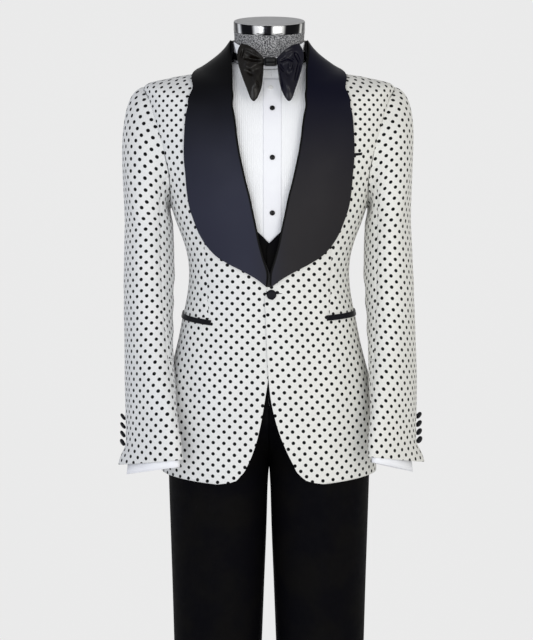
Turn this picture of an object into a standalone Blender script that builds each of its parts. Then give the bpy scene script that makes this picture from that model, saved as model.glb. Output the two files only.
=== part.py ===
"""Tuxedo with a shawl collar, worn by a limbless dress form on a plain stand.

Lengths are in metres. Z is up, the front faces -Y and the wearer's left is +X. Every
garment is worked out from one figure: a table of rings from the jacket's hem to the fold
of its collar. A place on the figure is a ring (its height label) and a turn (0 at the
centre front, 90 degrees at the side, 180 at the centre back, negative on the right).
Each piece of cloth is a closed wall between an outer and an inner sheet of points.
"""
import math

import bmesh
import bpy
import numpy as np

MM = 0.001
SEAM = 0.15 * MM  # half of the gap between two pieces at a seam

# ring, side x, side y, side z, front y, front z, back y, back z, fullness
FIGURE = np.array((
    (0.825, 0.1885, 0.004, 0.831, -0.1220, 0.818, 0.1280, 0.825, 2.20),
    (0.860, 0.1890, 0.004, 0.862, -0.1225, 0.858, 0.1300, 0.860, 2.20),
    (0.920, 0.1870, 0.004, 0.920, -0.1220, 0.920, 0.1310, 0.920, 2.20),
    (0.970, 0.1800, 0.003, 0.970, -0.1205, 0.970, 0.1260, 0.970, 2.20),
    (1.000, 0.1742, 0.002, 1.000, -0.1190, 1.000, 0.1200, 1.000, 2.20),
    (1.030, 0.1662, 0.001, 1.030, -0.1170, 1.030, 0.1120, 1.030, 2.20),
    (1.060, 0.1588, 0.000, 1.060, -0.1150, 1.060, 0.1040, 1.060, 2.20),
    (1.100, 0.1510, 0.000, 1.100, -0.1130, 1.100, 0.0950, 1.100, 2.20),
    (1.130, 0.1445, 0.000, 1.130, -0.1120, 1.130, 0.0895, 1.130, 2.20),
    (1.155, 0.1407, 0.000, 1.155, -0.1115, 1.155, 0.0870, 1.155, 2.20),
    (1.183, 0.1394, 0.000, 1.183, -0.1120, 1.183, 0.0865, 1.183, 2.20),
    (1.208, 0.1420, 0.000, 1.208, -0.1135, 1.208, 0.0885, 1.208, 2.25),
    (1.234, 0.1490, 0.000, 1.234, -0.1160, 1.234, 0.0930, 1.234, 2.35),
    (1.258, 0.1580, 0.000, 1.258, -0.1185, 1.258, 0.0985, 1.258, 2.45),
    (1.290, 0.1690, 0.000, 1.290, -0.1215, 1.290, 0.1065, 1.290, 2.50),
    (1.320, 0.1765, 0.000, 1.320, -0.1232, 1.318, 0.1125, 1.319, 2.42),
    (1.345, 0.1850, 0.000, 1.345, -0.1235, 1.340, 0.1165, 1.343, 2.38),
    (1.375, 0.1970, 0.000, 1.375, -0.1228, 1.365, 0.1195, 1.371, 2.35),
    (1.405, 0.2050, 0.000, 1.405, -0.1202, 1.389, 0.1205, 1.398, 2.35),
    (1.435, 0.2098, 0.001, 1.435, -0.1160, 1.413, 0.1190, 1.425, 2.35),
    (1.460, 0.2118, 0.002, 1.460, -0.1110, 1.433, 0.1165, 1.448, 2.35),
    (1.480, 0.2135, 0.003, 1.482, -0.1055, 1.449, 0.1135, 1.465, 2.35),
    (1.4975, 0.2165, 0.004, 1.5000, -0.1000, 1.462, 0.1100, 1.480, 2.35),
    (1.530, 0.1700, 0.006, 1.5155, -0.0900, 1.484, 0.1035, 1.503, 2.30),
    (1.560, 0.1250, 0.008, 1.5265, -0.0800, 1.502, 0.0965, 1.524, 2.20),
    (1.585, 0.0980, 0.008, 1.5430, -0.0700, 1.517, 0.0895, 1.543, 2.15),
    (1.610, 0.0765, 0.006, 1.5615, -0.0610, 1.531, 0.0820, 1.566, 2.10),
    (1.630, 0.0645, 0.004, 1.5790, -0.0550, 1.543, 0.0765, 1.592, 2.05),
))
HEM_RING, TOP_RING = FIGURE[0, 0], FIGURE[-1, 0]

# armhole of the jacket: turn round the sleeve, ring, y
ARMHOLE = (
    (0.0, 1.4975, 0.004),
    (24.6, 1.480, -0.028), (42.6, 1.460, -0.044), (62.0, 1.435, -0.056),
    (83.0, 1.405, -0.064), (103.5, 1.375, -0.065), (124.0, 1.345, -0.058),
    (144.0, 1.320, -0.042), (161.0, 1.301, -0.018),
    (180.0, 1.290, 0.010),
    (199.0, 1.301, 0.036), (216.0, 1.320, 0.054), (236.0, 1.345, 0.066),
    (256.5, 1.375, 0.072), (277.0, 1.405, 0.072), (298.0, 1.435, 0.065),
    (317.4, 1.460, 0.052), (335.4, 1.480, 0.034),
)
FRONT_SEAM, BACK_SEAM = 6, 14  # armhole points where the two sleeve seams start

# the sleeve below the armhole: z, centre x, centre y, half length, half thickness, angle
SLEEVE = np.array((
    (0.858, 0.2108, -0.1000, 0.0695, 0.0240, 42.0),
    (0.871, 0.2092, -0.0955, 0.0683, 0.0264, 45.0),
    (0.889, 0.2053, -0.0925, 0.0634, 0.0286, 49.0),
    (0.905, 0.2059, -0.0872, 0.0641, 0.0302, 53.0),
    (0.930, 0.2078, -0.0765, 0.0667, 0.0318, 58.0),
    (0.990, 0.2104, -0.0500, 0.0729, 0.0385, 70.0),
    (1.060, 0.2112, -0.026, 0.0745, 0.0415, 80.0),
    (1.130, 0.2103, -0.012, 0.0775, 0.0428, 86.0),
    (1.200, 0.2085, -0.003, 0.0805, 0.0428, 90.0),
    (1.262, 0.2080, 0.001, 0.0830, 0.0415, 90.0),
))
SLEEVE_RING = SLEEVE[-1, 0]
# both sleeves lean to the wearer's left: z, lean of the inner side, of the outer side
SLEEVE_LEAN = np.array((
    (0.840, 0.0124, 0.0043), (0.890, 0.0100, 0.0033), (0.953, 0.0073, 0.0034),
    (1.000, 0.0047, 0.0030), (1.130, 0.0008, 0.0000), (1.200, 0.0000, -0.0012),
    (1.300, 0.0000, -0.0026), (1.400, 0.0000, -0.0025), (1.460, 0.0000, -0.0010),
    (1.500, 0.0000, 0.0000),
))
CUFF_SLOPE = 0.010  # the sleeve's hem is this much lower at its back edge
LEFT_HIGHER = 0.005  # the left sleeve's hem hangs this much higher than the right one's

# jacket opening, from the hem to the collar's fold: ring, x
ROLL_LINE = (
    (1.234, 0.0185), (1.260, 0.0240), (1.290, 0.0300), (1.320, 0.0380),
    (1.345, 0.0435), (1.375, 0.0500), (1.405, 0.0550), (1.435, 0.0590),
    (1.480, 0.0630), (1.4975, 0.0635), (1.530, 0.0642), (1.560, 0.0646),
    (1.585, 0.0648), (1.610, 0.0648), (1.630, 0.0640),
)
OVER_EDGE = (
    (0.825, 0.0930), (0.829, 0.0740), (0.840, 0.0540), (0.860, 0.0400),
    (0.885, 0.0272), (0.920, 0.0140), (0.960, 0.0042), (1.000, -0.0008),
    (1.030, -0.0027), (1.100, -0.0052), (1.146, -0.0055), (1.160, -0.0010),
    (1.183, 0.0042), (1.208, 0.0117)) + ROLL_LINE
UNDER_EDGE = (
    (0.825, 0.0885), (0.829, 0.0670), (0.840, 0.0490), (0.860, 0.0350),
    (0.885, 0.0245), (0.920, 0.0152), (0.960, 0.0080), (1.000, 0.0015),
    (1.030, -0.0040), (1.100, -0.0130), (1.146, -0.0130), (1.160, -0.0090),
    (1.183, -0.0002), (1.208, 0.0097)) + ROLL_LINE

# shawl collar: fold x and z, outer edge x and z, on the front
SHAWL = (
    (0.0010, 1.1610, 0.0050, 1.1590),
    (0.0022, 1.1830, 0.0230, 1.1725),
    (0.0093, 1.2080, 0.0475, 1.1865),
    (0.0160, 1.2340, 0.0700, 1.1985),
    (0.0215, 1.2620, 0.0925, 1.2145),
    (0.0290, 1.2980, 0.1120, 1.2400),
    (0.0380, 1.3350, 0.1275, 1.2760),
    (0.0465, 1.3730, 0.1370, 1.3180),
    (0.0530, 1.4100, 0.1412, 1.3620),
    (0.0575, 1.4450, 0.1424, 1.4070),
    (0.0602, 1.4780, 0.1403, 1.4450),
    (0.0618, 1.5080, 0.1350, 1.4790),
    (0.0632, 1.5380, 0.1305, 1.5020),
)
SHAWL_SHOULDER_RING, SHAWL_BACK_RING = 1.560, 1.597
SHAWL_COLUMNS, SHAWL_ROWS = 5, 26

JACKET_WALL, STAND_WALL = 2.2 * MM, 1.2 * MM
LAP_LIFT = 1.6 * MM  # the fronts stand this far out and in of the figure where they lap
SHAWL_LIFT, SHAWL_WALL = 2.4 * MM, 2.0 * MM
NECK_LIFT, UNDER_COLLAR = 1.8 * MM, 1.5 * MM

# insets below the jacket's outer face, and walls
VEST_INSET, VEST_WALL = 6.2 * MM, 1.5 * MM
SHIRT_INSET, SHIRT_WALL = 12.0 * MM, 1.0 * MM
FORM_INSET = 20.0 * MM
TROUSER_WALL = 1.6 * MM


# ---------------------------------------------------------------- curves and the figure

def smooth(knots, values, at):
    """A cubic curve through the knots, read at the given places."""
    knots = np.asarray(knots, float)
    values = np.asarray(values, float)
    at = np.clip(np.asarray(at, float), knots[0], knots[-1])
    slope = np.gradient(values, knots)
    i = np.clip(np.searchsorted(knots, at, side="right") - 1, 0, len(knots) - 2)
    step = knots[i + 1] - knots[i]
    t = (at - knots[i]) / step
    start = (1 + 2 * t) * (1 - t) ** 2 * values[i] + t * (1 - t) ** 2 * step * slope[i]
    end = t * t * (3 - 2 * t) * values[i + 1] + t * t * (t - 1) * step * slope[i + 1]
    return start + end


def fade(value, low, high):
    """0 below low, 1 above high and a smooth change between them."""
    t = np.clip((np.asarray(value, float) - low) / (high - low), 0.0, 1.0)
    return t * t * (3 - 2 * t)


def unit(vectors):
    """The vectors scaled to length one."""
    length = np.linalg.norm(vectors, axis=-1, keepdims=True)
    return vectors / np.maximum(length, 1e-12)


def ring_values(ring):
    """The figure's measures at a ring."""
    return [smooth(FIGURE[:, 0], FIGURE[:, k], ring) for k in range(1, FIGURE.shape[1])]


def figure(ring, turn):
    """Points of the jacket's outer face."""
    ring, turn = np.broadcast_arrays(np.asarray(ring, float), np.asarray(turn, float))
    x_side, y_side, z_side, y_front, z_front, y_back, z_back, full = ring_values(ring)
    across, along = np.sin(turn), np.cos(turn)
    in_front = along >= 0
    x = x_side * np.sign(across) * np.abs(across) ** (2 / full)
    reach = np.abs(along) ** (2 / full)
    y = y_side + (np.where(in_front, y_front, y_back) - y_side) * reach
    z = z_side + (np.where(in_front, z_front, z_back) - z_side) * along ** 2
    return np.stack((x, y, z), axis=-1)


def outward(ring, turn):
    """Unit normals of the figure."""
    step_ring, step_turn = 0.0008, 0.004
    low = np.clip(np.asarray(ring, float) - step_ring, HEM_RING, TOP_RING)
    high = np.clip(np.asarray(ring, float) + step_ring, HEM_RING, TOP_RING)
    up = figure(high, turn) - figure(low, turn)
    around = figure(ring, turn + step_turn) - figure(ring, turn - step_turn)
    return unit(np.cross(around, up))


def layer(ring, turn, inset):
    """Points a set depth under the jacket's outer face."""
    inset = np.asarray(inset, float)
    return figure(ring, turn) - outward(ring, turn) * inset[..., None]


def turn_at_y(ring, y):
    """The turn (right-hand sign left out) at which a ring has a given y."""
    y_side, y_front, y_back, full = (ring_values(ring)[k] for k in (1, 3, 5, 7))
    forward = y < y_side
    reach = (y - y_side) / (np.where(forward, y_front, y_back) - y_side)
    angle = np.arccos(np.clip(reach, 0.0, 1.0) ** (full / 2))
    return np.where(forward, angle, math.pi - angle)


def turn_at_x(ring, x):
    """The turn at which the front of a ring has a given x."""
    x_side, full = ring_values(ring)[0], ring_values(ring)[7]
    return np.sign(x) * np.arcsin(np.clip(np.abs(x) / x_side, 0, 1) ** (full / 2))


def front_place(x, z):
    """Ring and turn of the point on the front with a given x and z."""
    ring = np.array(z, float)
    for _ in range(40):
        turn = turn_at_x(ring, x)
        ring = np.clip(ring + 0.8 * (z - figure(ring, turn)[..., 2]), HEM_RING, TOP_RING)
    return ring, turn_at_x(ring, x)


# ---------------------------------------------------------------- meshes

def new_collection(name):
    """A collection of its own for the object."""
    made = bpy.data.collections.new(name)
    bpy.context.scene.collection.children.link(made)
    return made


def paint(name, color, roughness):
    """A plain material."""
    made = bpy.data.materials.new(name)
    made.use_nodes = True
    shader = made.node_tree.nodes["Principled BSDF"]
    shader.inputs["Base Color"].default_value = (*color, 1.0)
    shader.inputs["Roughness"].default_value = roughness
    return made


def add_mesh(name, points, faces, material, smooth_shade=True):
    """A closed mesh object of triangles with its faces turned out."""
    mesh = bpy.data.meshes.new(name)
    mesh.from_pydata([tuple(float(c) for c in p) for p in points], [], faces)
    body = bmesh.new()
    body.from_mesh(mesh)
    bmesh.ops.triangulate(body, faces=body.faces, quad_method="SHORT_EDGE")
    bmesh.ops.recalc_face_normals(body, faces=body.faces)
    if body.calc_volume(signed=True) < 0:
        bmesh.ops.reverse_faces(body, faces=body.faces)
    body.to_mesh(mesh)
    body.free()
    mesh.materials.append(material)
    for face in mesh.polygons:
        face.use_smooth = smooth_shade
    made = bpy.data.objects.new(name, mesh)
    PARTS.objects.link(made)
    return made


def ease(outer, inner, sides):
    """Both sheets drawn back from their seams by half a seam gap."""
    outer, inner = outer.copy(), inner.copy()
    for grid in (outer, inner):
        if "first_column" in sides:
            grid[:, 0] += SEAM * unit(grid[:, 1] - grid[:, 0])
        if "last_column" in sides:
            grid[:, -1] += SEAM * unit(grid[:, -2] - grid[:, -1])
        if "first_row" in sides:
            grid[0] += SEAM * unit(grid[1] - grid[0])
        if "last_row" in sides:
            grid[-1] += SEAM * unit(grid[-2] - grid[-1])
    return outer, inner


def add_wall(name, outer, inner, material, closed=False, sides=()):
    """Cloth between two sheets of points; closed joins the last column to the first."""
    outer, inner = ease(outer, inner, sides)
    rows, columns = outer.shape[:2]
    points = np.concatenate((outer.reshape(-1, 3), inner.reshape(-1, 3)))
    inside = rows * columns
    faces = []
    for i in range(rows - 1):
        for j in range(columns if closed else columns - 1):
            k = (j + 1) % columns
            quad = (i * columns + j, i * columns + k,
                    (i + 1) * columns + k, (i + 1) * columns + j)
            faces.append(quad)
            faces.append(tuple(inside + v for v in reversed(quad)))
    for j in range(columns if closed else columns - 1):
        k = (j + 1) % columns
        top = (rows - 1) * columns
        faces.append((k, j, inside + j, inside + k))
        faces.append((top + j, top + k, inside + top + k, inside + top + j))
    if not closed:
        for i in range(rows - 1):
            low, high, last = i * columns, (i + 1) * columns, columns - 1
            faces.append((low, high, inside + high, inside + low))
            faces.append((high + last, low + last, inside + low + last, inside + high + last))
    return add_mesh(name, points, faces, material)


def add_solid(name, rings, material, smooth_shade=True):
    """A solid through closed rings of points, with a flat face at both ends."""
    rows, columns = rings.shape[:2]
    faces = []
    for i in range(rows - 1):
        for j in range(columns):
            k = (j + 1) % columns
            faces.append((i * columns + j, i * columns + k,
                          (i + 1) * columns + k, (i + 1) * columns + j))
    faces.append(tuple(reversed(range(columns))))
    faces.append(tuple(range((rows - 1) * columns, rows * columns)))
    return add_mesh(name, rings.reshape(-1, 3), faces, material, smooth_shade)


def mirrored(points):
    """The same points on the other side of the figure."""
    return points * np.array((-1.0, 1.0, 1.0))


def sheet_normals(grid, closed):
    """Unit normals of a sheet of points, rows by columns."""
    up = np.gradient(grid, axis=0)
    if closed:
        around = np.roll(grid, -1, axis=1) - np.roll(grid, 1, axis=1)
    else:
        around = np.gradient(grid, axis=1)
    return unit(np.cross(around, up))


# ---------------------------------------------------------------- jacket

BODY_RINGS = (0.825, 0.829, 0.840, 0.860, 0.885, 0.920, 0.960, 1.000, 1.030, 1.065, 1.100,
              1.130, 1.146, 1.160, 1.183, 1.208, 1.234, 1.260, 1.290, 1.301, 1.320, 1.345,
              1.375, 1.405, 1.435, 1.460, 1.480, 1.4975, 1.530, 1.560, 1.585, 1.610, 1.630)
SIDE_SEAM_Y = 0.010
FRONT_COLUMNS, BACK_COLUMNS = 8, 6


def seam_turn(ring, holes, forward):
    """Turn of the edge that runs up the side seam, round the armhole and up the shoulder."""
    lowest, highest = holes[len(holes) // 2], holes[0]
    if ring <= lowest[1] + 1e-9:
        return float(turn_at_y(ring, lowest[2]))
    if ring >= highest[1] - 1e-9:
        return math.pi / 2
    half = holes[1:len(holes) // 2] if forward else holes[len(holes) // 2 + 1:]
    ends = sorted([(hole[1], hole[2]) for hole in half] + [lowest[1:], highest[1:]])
    y = smooth([e[0] for e in ends], [e[1] for e in ends], ring)
    return float(turn_at_y(ring, y))


def lap(points, out):
    """How far a front is moved out (or in) where the fronts lap, for each point."""
    near = 1 - fade(np.abs(points[..., 0]), 0.030, 0.070)
    level = fade(points[..., 2], 0.900, 1.000) * (1 - fade(points[..., 2], 1.200, 1.300))
    return out * LAP_LIFT * near * level


def front_sheet(rings, columns, edge, holes, out=0.0):
    """Ring, turn and lap of a front (left-hand sign) from its edge to its side seam."""
    ring = np.array(rings)[:, None] * np.ones((1, columns + 1))
    turn = np.zeros_like(ring)
    for i, level in enumerate(rings):
        x = float(smooth([e[0] for e in edge], [e[1] for e in edge], level))
        start = float(turn_at_x(level, x))
        turn[i] = np.linspace(start, seam_turn(level, holes, True), columns + 1)
    return ring, turn, lap(figure(ring, turn), out)


def back_sheet(rings, columns, holes):
    """Ring and turn of a back from its side seam to the centre back."""
    ring = np.array(rings)[:, None] * np.ones((1, columns + 1))
    turn = np.zeros_like(ring)
    for i, level in enumerate(rings):
        turn[i] = np.linspace(seam_turn(level, holes, False), math.pi, columns + 1)
    return ring, turn


def jacket_wall(ring):
    """The jacket's thickness, less where it stands up round the neck."""
    return JACKET_WALL + (STAND_WALL - JACKET_WALL) * fade(ring, 1.570, 1.615)


def under_collar(ring):
    """How far the jacket is drawn in where the collar lies on it."""
    return UNDER_COLLAR * (fade(ring, 1.530, 1.560) - fade(ring, 1.610, 1.630))


def build_jacket_body():
    """Two fronts that lap at the button, and two backs."""
    for side, edge, out in (("left", OVER_EDGE, 1.0), ("right", UNDER_EDGE, -1.0)):
        ring, turn, moved = front_sheet(BODY_RINGS, FRONT_COLUMNS, edge, ARMHOLE, out)
        inset = under_collar(ring) - moved
        outer, inner = layer(ring, turn, inset), layer(ring, turn, inset + jacket_wall(ring))
        if side == "right":
            outer, inner = mirrored(outer), mirrored(inner)
        add_wall("jacket_front_" + side, outer, inner, IVORY, sides=("last_column",))
        ring, turn = back_sheet(BODY_RINGS, BACK_COLUMNS, ARMHOLE)
        inset = under_collar(ring)
        outer, inner = layer(ring, turn, inset), layer(ring, turn, inset + jacket_wall(ring))
        if side == "right":
            outer, inner = mirrored(outer), mirrored(inner)
        add_wall("jacket_back_" + side, outer, inner, IVORY,
                 sides=("first_column", "last_column"))


# leaving direction of the sleeve at the armhole: turn, x, y, z
SLEEVE_START = np.array((
    (0, 0.160, 0.000, -0.020), (45, 0.125, -0.035, -0.030), (90, 0.075, -0.040, -0.040),
    (135, 0.050, -0.030, -0.025), (180, 0.032, 0.000, -0.006), (225, 0.050, 0.030, -0.025),
    (270, 0.075, 0.040, -0.040), (315, 0.125, 0.035, -0.030), (360, 0.160, 0.000, -0.020),
))
CAP_STEPS = (0.0, 0.1, 0.2, 0.32, 0.45, 0.6, 0.8, 1.0)
SLEEVE_LEVELS = (1.215, 1.155, 1.095, 1.035, 0.985, 0.935, 0.889, 0.871, 0.858)


def sleeve_sections(turns, levels, slim=0.0, short=0.0, ahead=0.0):
    """Rows of points round the left sleeve below its cap, or round a tube inside it.

    The tube is slim under the sleeve's face, short at its two ends and moved ahead.
    """
    z = np.asarray(levels, float)[:, None]
    x, y, long, thick, angle = (smooth(SLEEVE[:, 0], SLEEVE[:, k], z) for k in range(1, 6))
    angle = np.radians(angle)
    a = (long - slim - short) * np.sin(turns) + ahead
    b = (thick - slim) * np.cos(turns)
    hem = 1 - fade(z, 0.858, 1.000)
    return np.stack((x - a * np.cos(angle) + b * np.sin(angle),
                     y - a * np.sin(angle) - b * np.cos(angle),
                     z + CUFF_SLOPE * hem * np.sin(turns)), axis=-1)


def sleeve_cap(start, turns, top, steps, reach=1.0, drop=1.0, push=0.0):
    """Rows of points from the armhole down to the first ring of the sleeve."""
    degrees = np.degrees(turns) % 360
    leave = np.stack([smooth(SLEEVE_START[:, 0], SLEEVE_START[:, k], degrees)
                      for k in (1, 2, 3)], axis=-1) * reach
    leave[:, 0] += push * (1 - np.cos(turns)) / 2
    arrive = np.zeros_like(leave)
    arrive[:, 2] = -(0.155 + 0.125 * np.cos(turns)) * drop
    t = np.asarray(steps, float)[:, None, None]
    return ((1 + 2 * t) * (1 - t) ** 2 * start + t * (1 - t) ** 2 * leave
            + t * t * (3 - 2 * t) * top + t * t * (t - 1) * arrive)


def swing(points, side, weight=1.0):
    """The sleeve leant towards the wearer's left, and mirrored for the right arm."""
    points = points.copy()
    if side == "left":
        points[..., 2] += LEFT_HIGHER * (1 - fade(points[..., 2], 0.860, 1.000))
    inner, outer = (smooth(SLEEVE_LEAN[:, 0], SLEEVE_LEAN[:, k], points[..., 2])
                    for k in (1, 2))
    share = np.clip((points[..., 0] - 0.168) / 0.085, 0, 1)
    lean = (inner + (outer - inner) * share) * np.reshape(weight, (-1, 1))
    points[..., 0] += lean * (1 if side == "left" else -1)
    return points if side == "left" else mirrored(points)


def sleeve_inside(outer, body_normal, wall):
    """The inner sheet of a sleeve; at the armhole it meets the body's own wall."""
    normal = sheet_normals(outer, True)
    agree = np.sum(normal[0] * body_normal, axis=-1)
    normal[0] = np.where(agree[:, None] > 0.2, body_normal, normal[0])
    return outer - normal * wall


def build_sleeves():
    """An upper and an under piece for each jacket sleeve."""
    turns = np.radians([hole[0] for hole in ARMHOLE])
    ring = np.array([hole[1] for hole in ARMHOLE])
    turn = turn_at_y(ring, np.array([hole[2] for hole in ARMHOLE]))
    start, body_normal = figure(ring, turn), outward(ring, turn)
    sections = sleeve_sections(turns, SLEEVE_LEVELS)
    top = sleeve_sections(turns, (SLEEVE_RING,))[0]
    outer = np.concatenate((sleeve_cap(start, turns, top, CAP_STEPS), sections))
    inner = sleeve_inside(outer, body_normal, JACKET_WALL)
    weight = fade(np.concatenate((CAP_STEPS, np.ones(len(SLEEVE_LEVELS)))), 0.0, 0.7)
    upper = np.arange(BACK_SEAM, len(turns) + FRONT_SEAM + 1) % len(turns)
    under = np.arange(FRONT_SEAM, BACK_SEAM + 1)
    for side in ("left", "right"):
        for part, columns in (("upper", upper), ("under", under)):
            add_wall(f"sleeve_{part}_{side}", swing(outer[:, columns], side, weight),
                     swing(inner[:, columns], side, weight), IVORY,
                     sides=("first_column", "last_column", "first_row"))


def shawl_places(side):
    """Ring and turn of the shawl's fold and outer edge, from the button to the back."""
    rows = []
    for fold_x, fold_z, edge_x, edge_z in SHAWL:
        if side == "right" and fold_z < 1.20:
            fold_x = -fold_x + 0.0040
        fold, edge = front_place(fold_x, fold_z), front_place(edge_x, edge_z)
        rows.append((*fold, *edge))
    for degrees in (82, 97, 113, 130, 147, 164, 180):
        share = float(fade(degrees, 80, 180))
        ring = SHAWL_SHOULDER_RING + (SHAWL_BACK_RING - SHAWL_SHOULDER_RING) * share
        rows.append((TOP_RING, math.radians(degrees), ring, math.radians(degrees)))
    rows = np.array(rows, float)
    place = np.linspace(0, len(rows) - 1, SHAWL_ROWS)
    return np.stack([smooth(np.arange(len(rows)), rows[:, k], place) for k in range(4)],
                    axis=-1)


def build_shawl():
    """Half of the shawl collar for each side, meeting at the centre back."""
    share = np.linspace(0, 1, SHAWL_COLUMNS + 1)[None, :]
    for side, out in (("left", 1.0), ("right", -1.0)):
        places = shawl_places(side)
        ring = places[:, 0:1] * (1 - share) + places[:, 2:3] * share
        turn = places[:, 1:2] * (1 - share) + places[:, 3:4] * share
        moved = lap(figure(ring, turn), out)
        near_neck = fade(ring, 1.605, 1.63)
        lift = SHAWL_LIFT + (NECK_LIFT - SHAWL_LIFT) * near_neck
        wall = SHAWL_WALL * (1 - 0.25 * near_neck)
        outer, inner = layer(ring, turn, -moved - lift - wall), layer(ring, turn, -moved - lift)
        if side == "right":
            outer, inner = mirrored(outer), mirrored(inner)
        add_wall("shawl_" + side, outer, inner, BLACK_SATIN, sides=("last_row",))


def strip(name, side, ends, half_height, lift, wall, material, out=0.0, columns=6):
    """A flat band on a front, between two (x, z) ends."""
    (x0, z0), (x1, z1) = ends
    share = np.linspace(0, 1, columns + 1)
    ring0, turn0 = front_place(x0, z0)
    ring1, turn1 = front_place(x1, z1)
    ring = ring0 + (ring1 - ring0) * share
    turn = turn0 + (turn1 - turn0) * share
    rings = np.stack((ring - half_height, ring + half_height))
    turns = np.stack((turn, turn))
    moved = lap(figure(rings, turns), out)
    outer, inner = layer(rings, turns, -moved - lift - wall), layer(rings, turns, -moved - lift)
    if side == "right":
        outer, inner = mirrored(outer), mirrored(inner)
    return add_wall(name, outer, inner, material)


def side_strip(name, side, places, half_height, lift, wall, material, columns=7):
    """A flat band on the jacket between two (ring, turn) places."""
    (ring0, turn0), (ring1, turn1) = places
    share = np.linspace(0, 1, columns + 1)
    ring = ring0 + (ring1 - ring0) * share
    turn = np.radians(turn0 + (turn1 - turn0) * share)
    rings, turns = np.stack((ring - half_height, ring + half_height)), np.stack((turn, turn))
    outer, inner = layer(rings, turns, -lift - wall), layer(rings, turns, -lift)
    if side == "right":
        outer, inner = mirrored(outer), mirrored(inner)
    return add_wall(name, outer, inner, material)


def dome(name, centre, facing, radius, height, material, segments=14):
    """A domed button on a face that looks along facing."""
    facing = unit(np.asarray(facing, float))
    across = unit(np.cross((0.0, 0.0, 1.0), facing))
    rise = np.cross(facing, across)
    angles = np.linspace(0, 2 * math.pi, segments, endpoint=False)[:, None]
    circle = np.cos(angles) * across + np.sin(angles) * rise
    profile = ((0.88, 0.0), (1.0, 0.40), (0.68, 0.92))
    rings = np.stack([centre + circle * radius * r + facing * height * h
                      for r, h in profile])
    return add_solid(name, rings, material)


CUFF_BUTTON_RADIUS = 6.4 * MM
CUFF_BUTTON_TILT = 0.62  # a button hangs from its foot and looks down by this slope
CUFF_BUTTON_LIFT = 3.8 * MM  # its middle stands this far off, its lower edge just clear


def build_jacket_trim():
    """Pocket jets, the breast welt and the buttons."""
    side_strip("hip_pocket_left", "left", ((1.1035, 38.5), (1.1095, 96.0)),
               4.6 * MM, 0.9 * MM, 1.4 * MM, BLACK_SATIN)
    side_strip("hip_pocket_right", "right", ((1.0955, 38.5), (1.1060, 96.0)),
               4.4 * MM, 0.9 * MM, 1.4 * MM, BLACK_SATIN)
    strip("breast_welt", "left", ((0.1385, 1.3813), (0.1570, 1.3830)),
          2.4 * MM, 0.4 * MM, 0.9 * MM, BLACK_SATIN, columns=3)
    ring, turn = front_place(0.0040, 1.1450)
    place, facing = figure(ring, turn), outward(ring, turn)
    dome("front_button", place + facing * (LAP_LIFT + 0.3 * MM), facing,
         8.4 * MM, 4.6 * MM, BLACK_SATIN)
    for side in ("left", "right"):
        for number, level in enumerate((0.9330, 0.9200, 0.9070, 0.8940)):
            turns = np.radians([299.0, 301.0])
            rows = swing(sleeve_sections(turns, (level + 0.004, level, level - 0.004)), side)
            away = sheet_normals(rows, False)[1, 0] * (1 if side == "left" else -1)
            facing = unit(away + np.array((0.0, 0.0, -CUFF_BUTTON_TILT)))
            dome(f"cuff_button_{side}_{number + 1}", rows[1, 0] + away * CUFF_BUTTON_LIFT,
                 facing, CUFF_BUTTON_RADIUS, 3.6 * MM, BLACK_SATIN, segments=9)


# ---------------------------------------------------------------- waistcoat

VEST_RINGS = (1.040, 1.110, 1.183, 1.234, 1.260, 1.290, 1.320, 1.360, 1.405, 1.450,
              1.4975, 1.520)
VEST_ARMHOLE = (
    (0.0, 1.4975, 0.004), (40.0, 1.450, -0.070), (80.0, 1.405, -0.084),
    (110.0, 1.360, -0.082), (140.0, 1.320, -0.066), (165.0, 1.290, -0.036),
    (180.0, 1.260, 0.010),
    (195.0, 1.290, 0.050), (220.0, 1.320, 0.072), (250.0, 1.360, 0.084),
    (280.0, 1.405, 0.086), (320.0, 1.450, 0.078),
)
VEST_EDGE = ((1.040, 0.0003), (1.200, 0.0003), (1.234, 0.0040), (1.260, 0.0300),
             (1.290, 0.0560), (1.320, 0.0740), (1.360, 0.0860), (1.405, 0.0920),
             (1.450, 0.0930), (1.530, 0.0900))
VEST_SHOULDER_X = 0.150


def vest_seam(ring, forward):
    """Outer edge of the waistcoat: side seam, armhole and then the shoulder's end."""
    turn = seam_turn(ring, VEST_ARMHOLE, forward)
    if ring < 1.43:
        return turn
    limit = float(turn_at_x(ring, min(VEST_SHOULDER_X, 0.97 * ring_values(ring)[0])))
    return min(turn, limit) if forward else max(turn, math.pi - limit)


def build_vest():
    """Two fronts and a back, open at the neck and at the arms."""
    ring = np.array(VEST_RINGS)[:, None] * np.ones((1, 6))
    turn = np.zeros_like(ring)
    for i, level in enumerate(VEST_RINGS):
        x = float(smooth([e[0] for e in VEST_EDGE], [e[1] for e in VEST_EDGE], level))
        x = max(x, 0.4 * MM)
        turn[i] = np.linspace(float(turn_at_x(level, x)), vest_seam(level, True), 6)
    outer, inner = layer(ring, turn, VEST_INSET), layer(ring, turn, VEST_INSET + VEST_WALL)
    add_wall("waistcoat_front_left", outer, inner, BLACK_WOOL, sides=("last_column",))
    add_wall("waistcoat_front_right", mirrored(outer), mirrored(inner), BLACK_WOOL,
             sides=("last_column",))
    ring = np.array(VEST_RINGS)[:, None] * np.ones((1, 9))
    turn = np.zeros_like(ring)
    for i, level in enumerate(VEST_RINGS):
        edge = vest_seam(level, False)
        turn[i] = np.linspace(edge, 2 * math.pi - edge, 9)
    outer, inner = layer(ring, turn, VEST_INSET), layer(ring, turn, VEST_INSET + VEST_WALL)
    add_wall("waistcoat_back", outer, inner, BLACK_SATIN,
             sides=("first_column", "last_column"))


# ---------------------------------------------------------------- shirt

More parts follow.
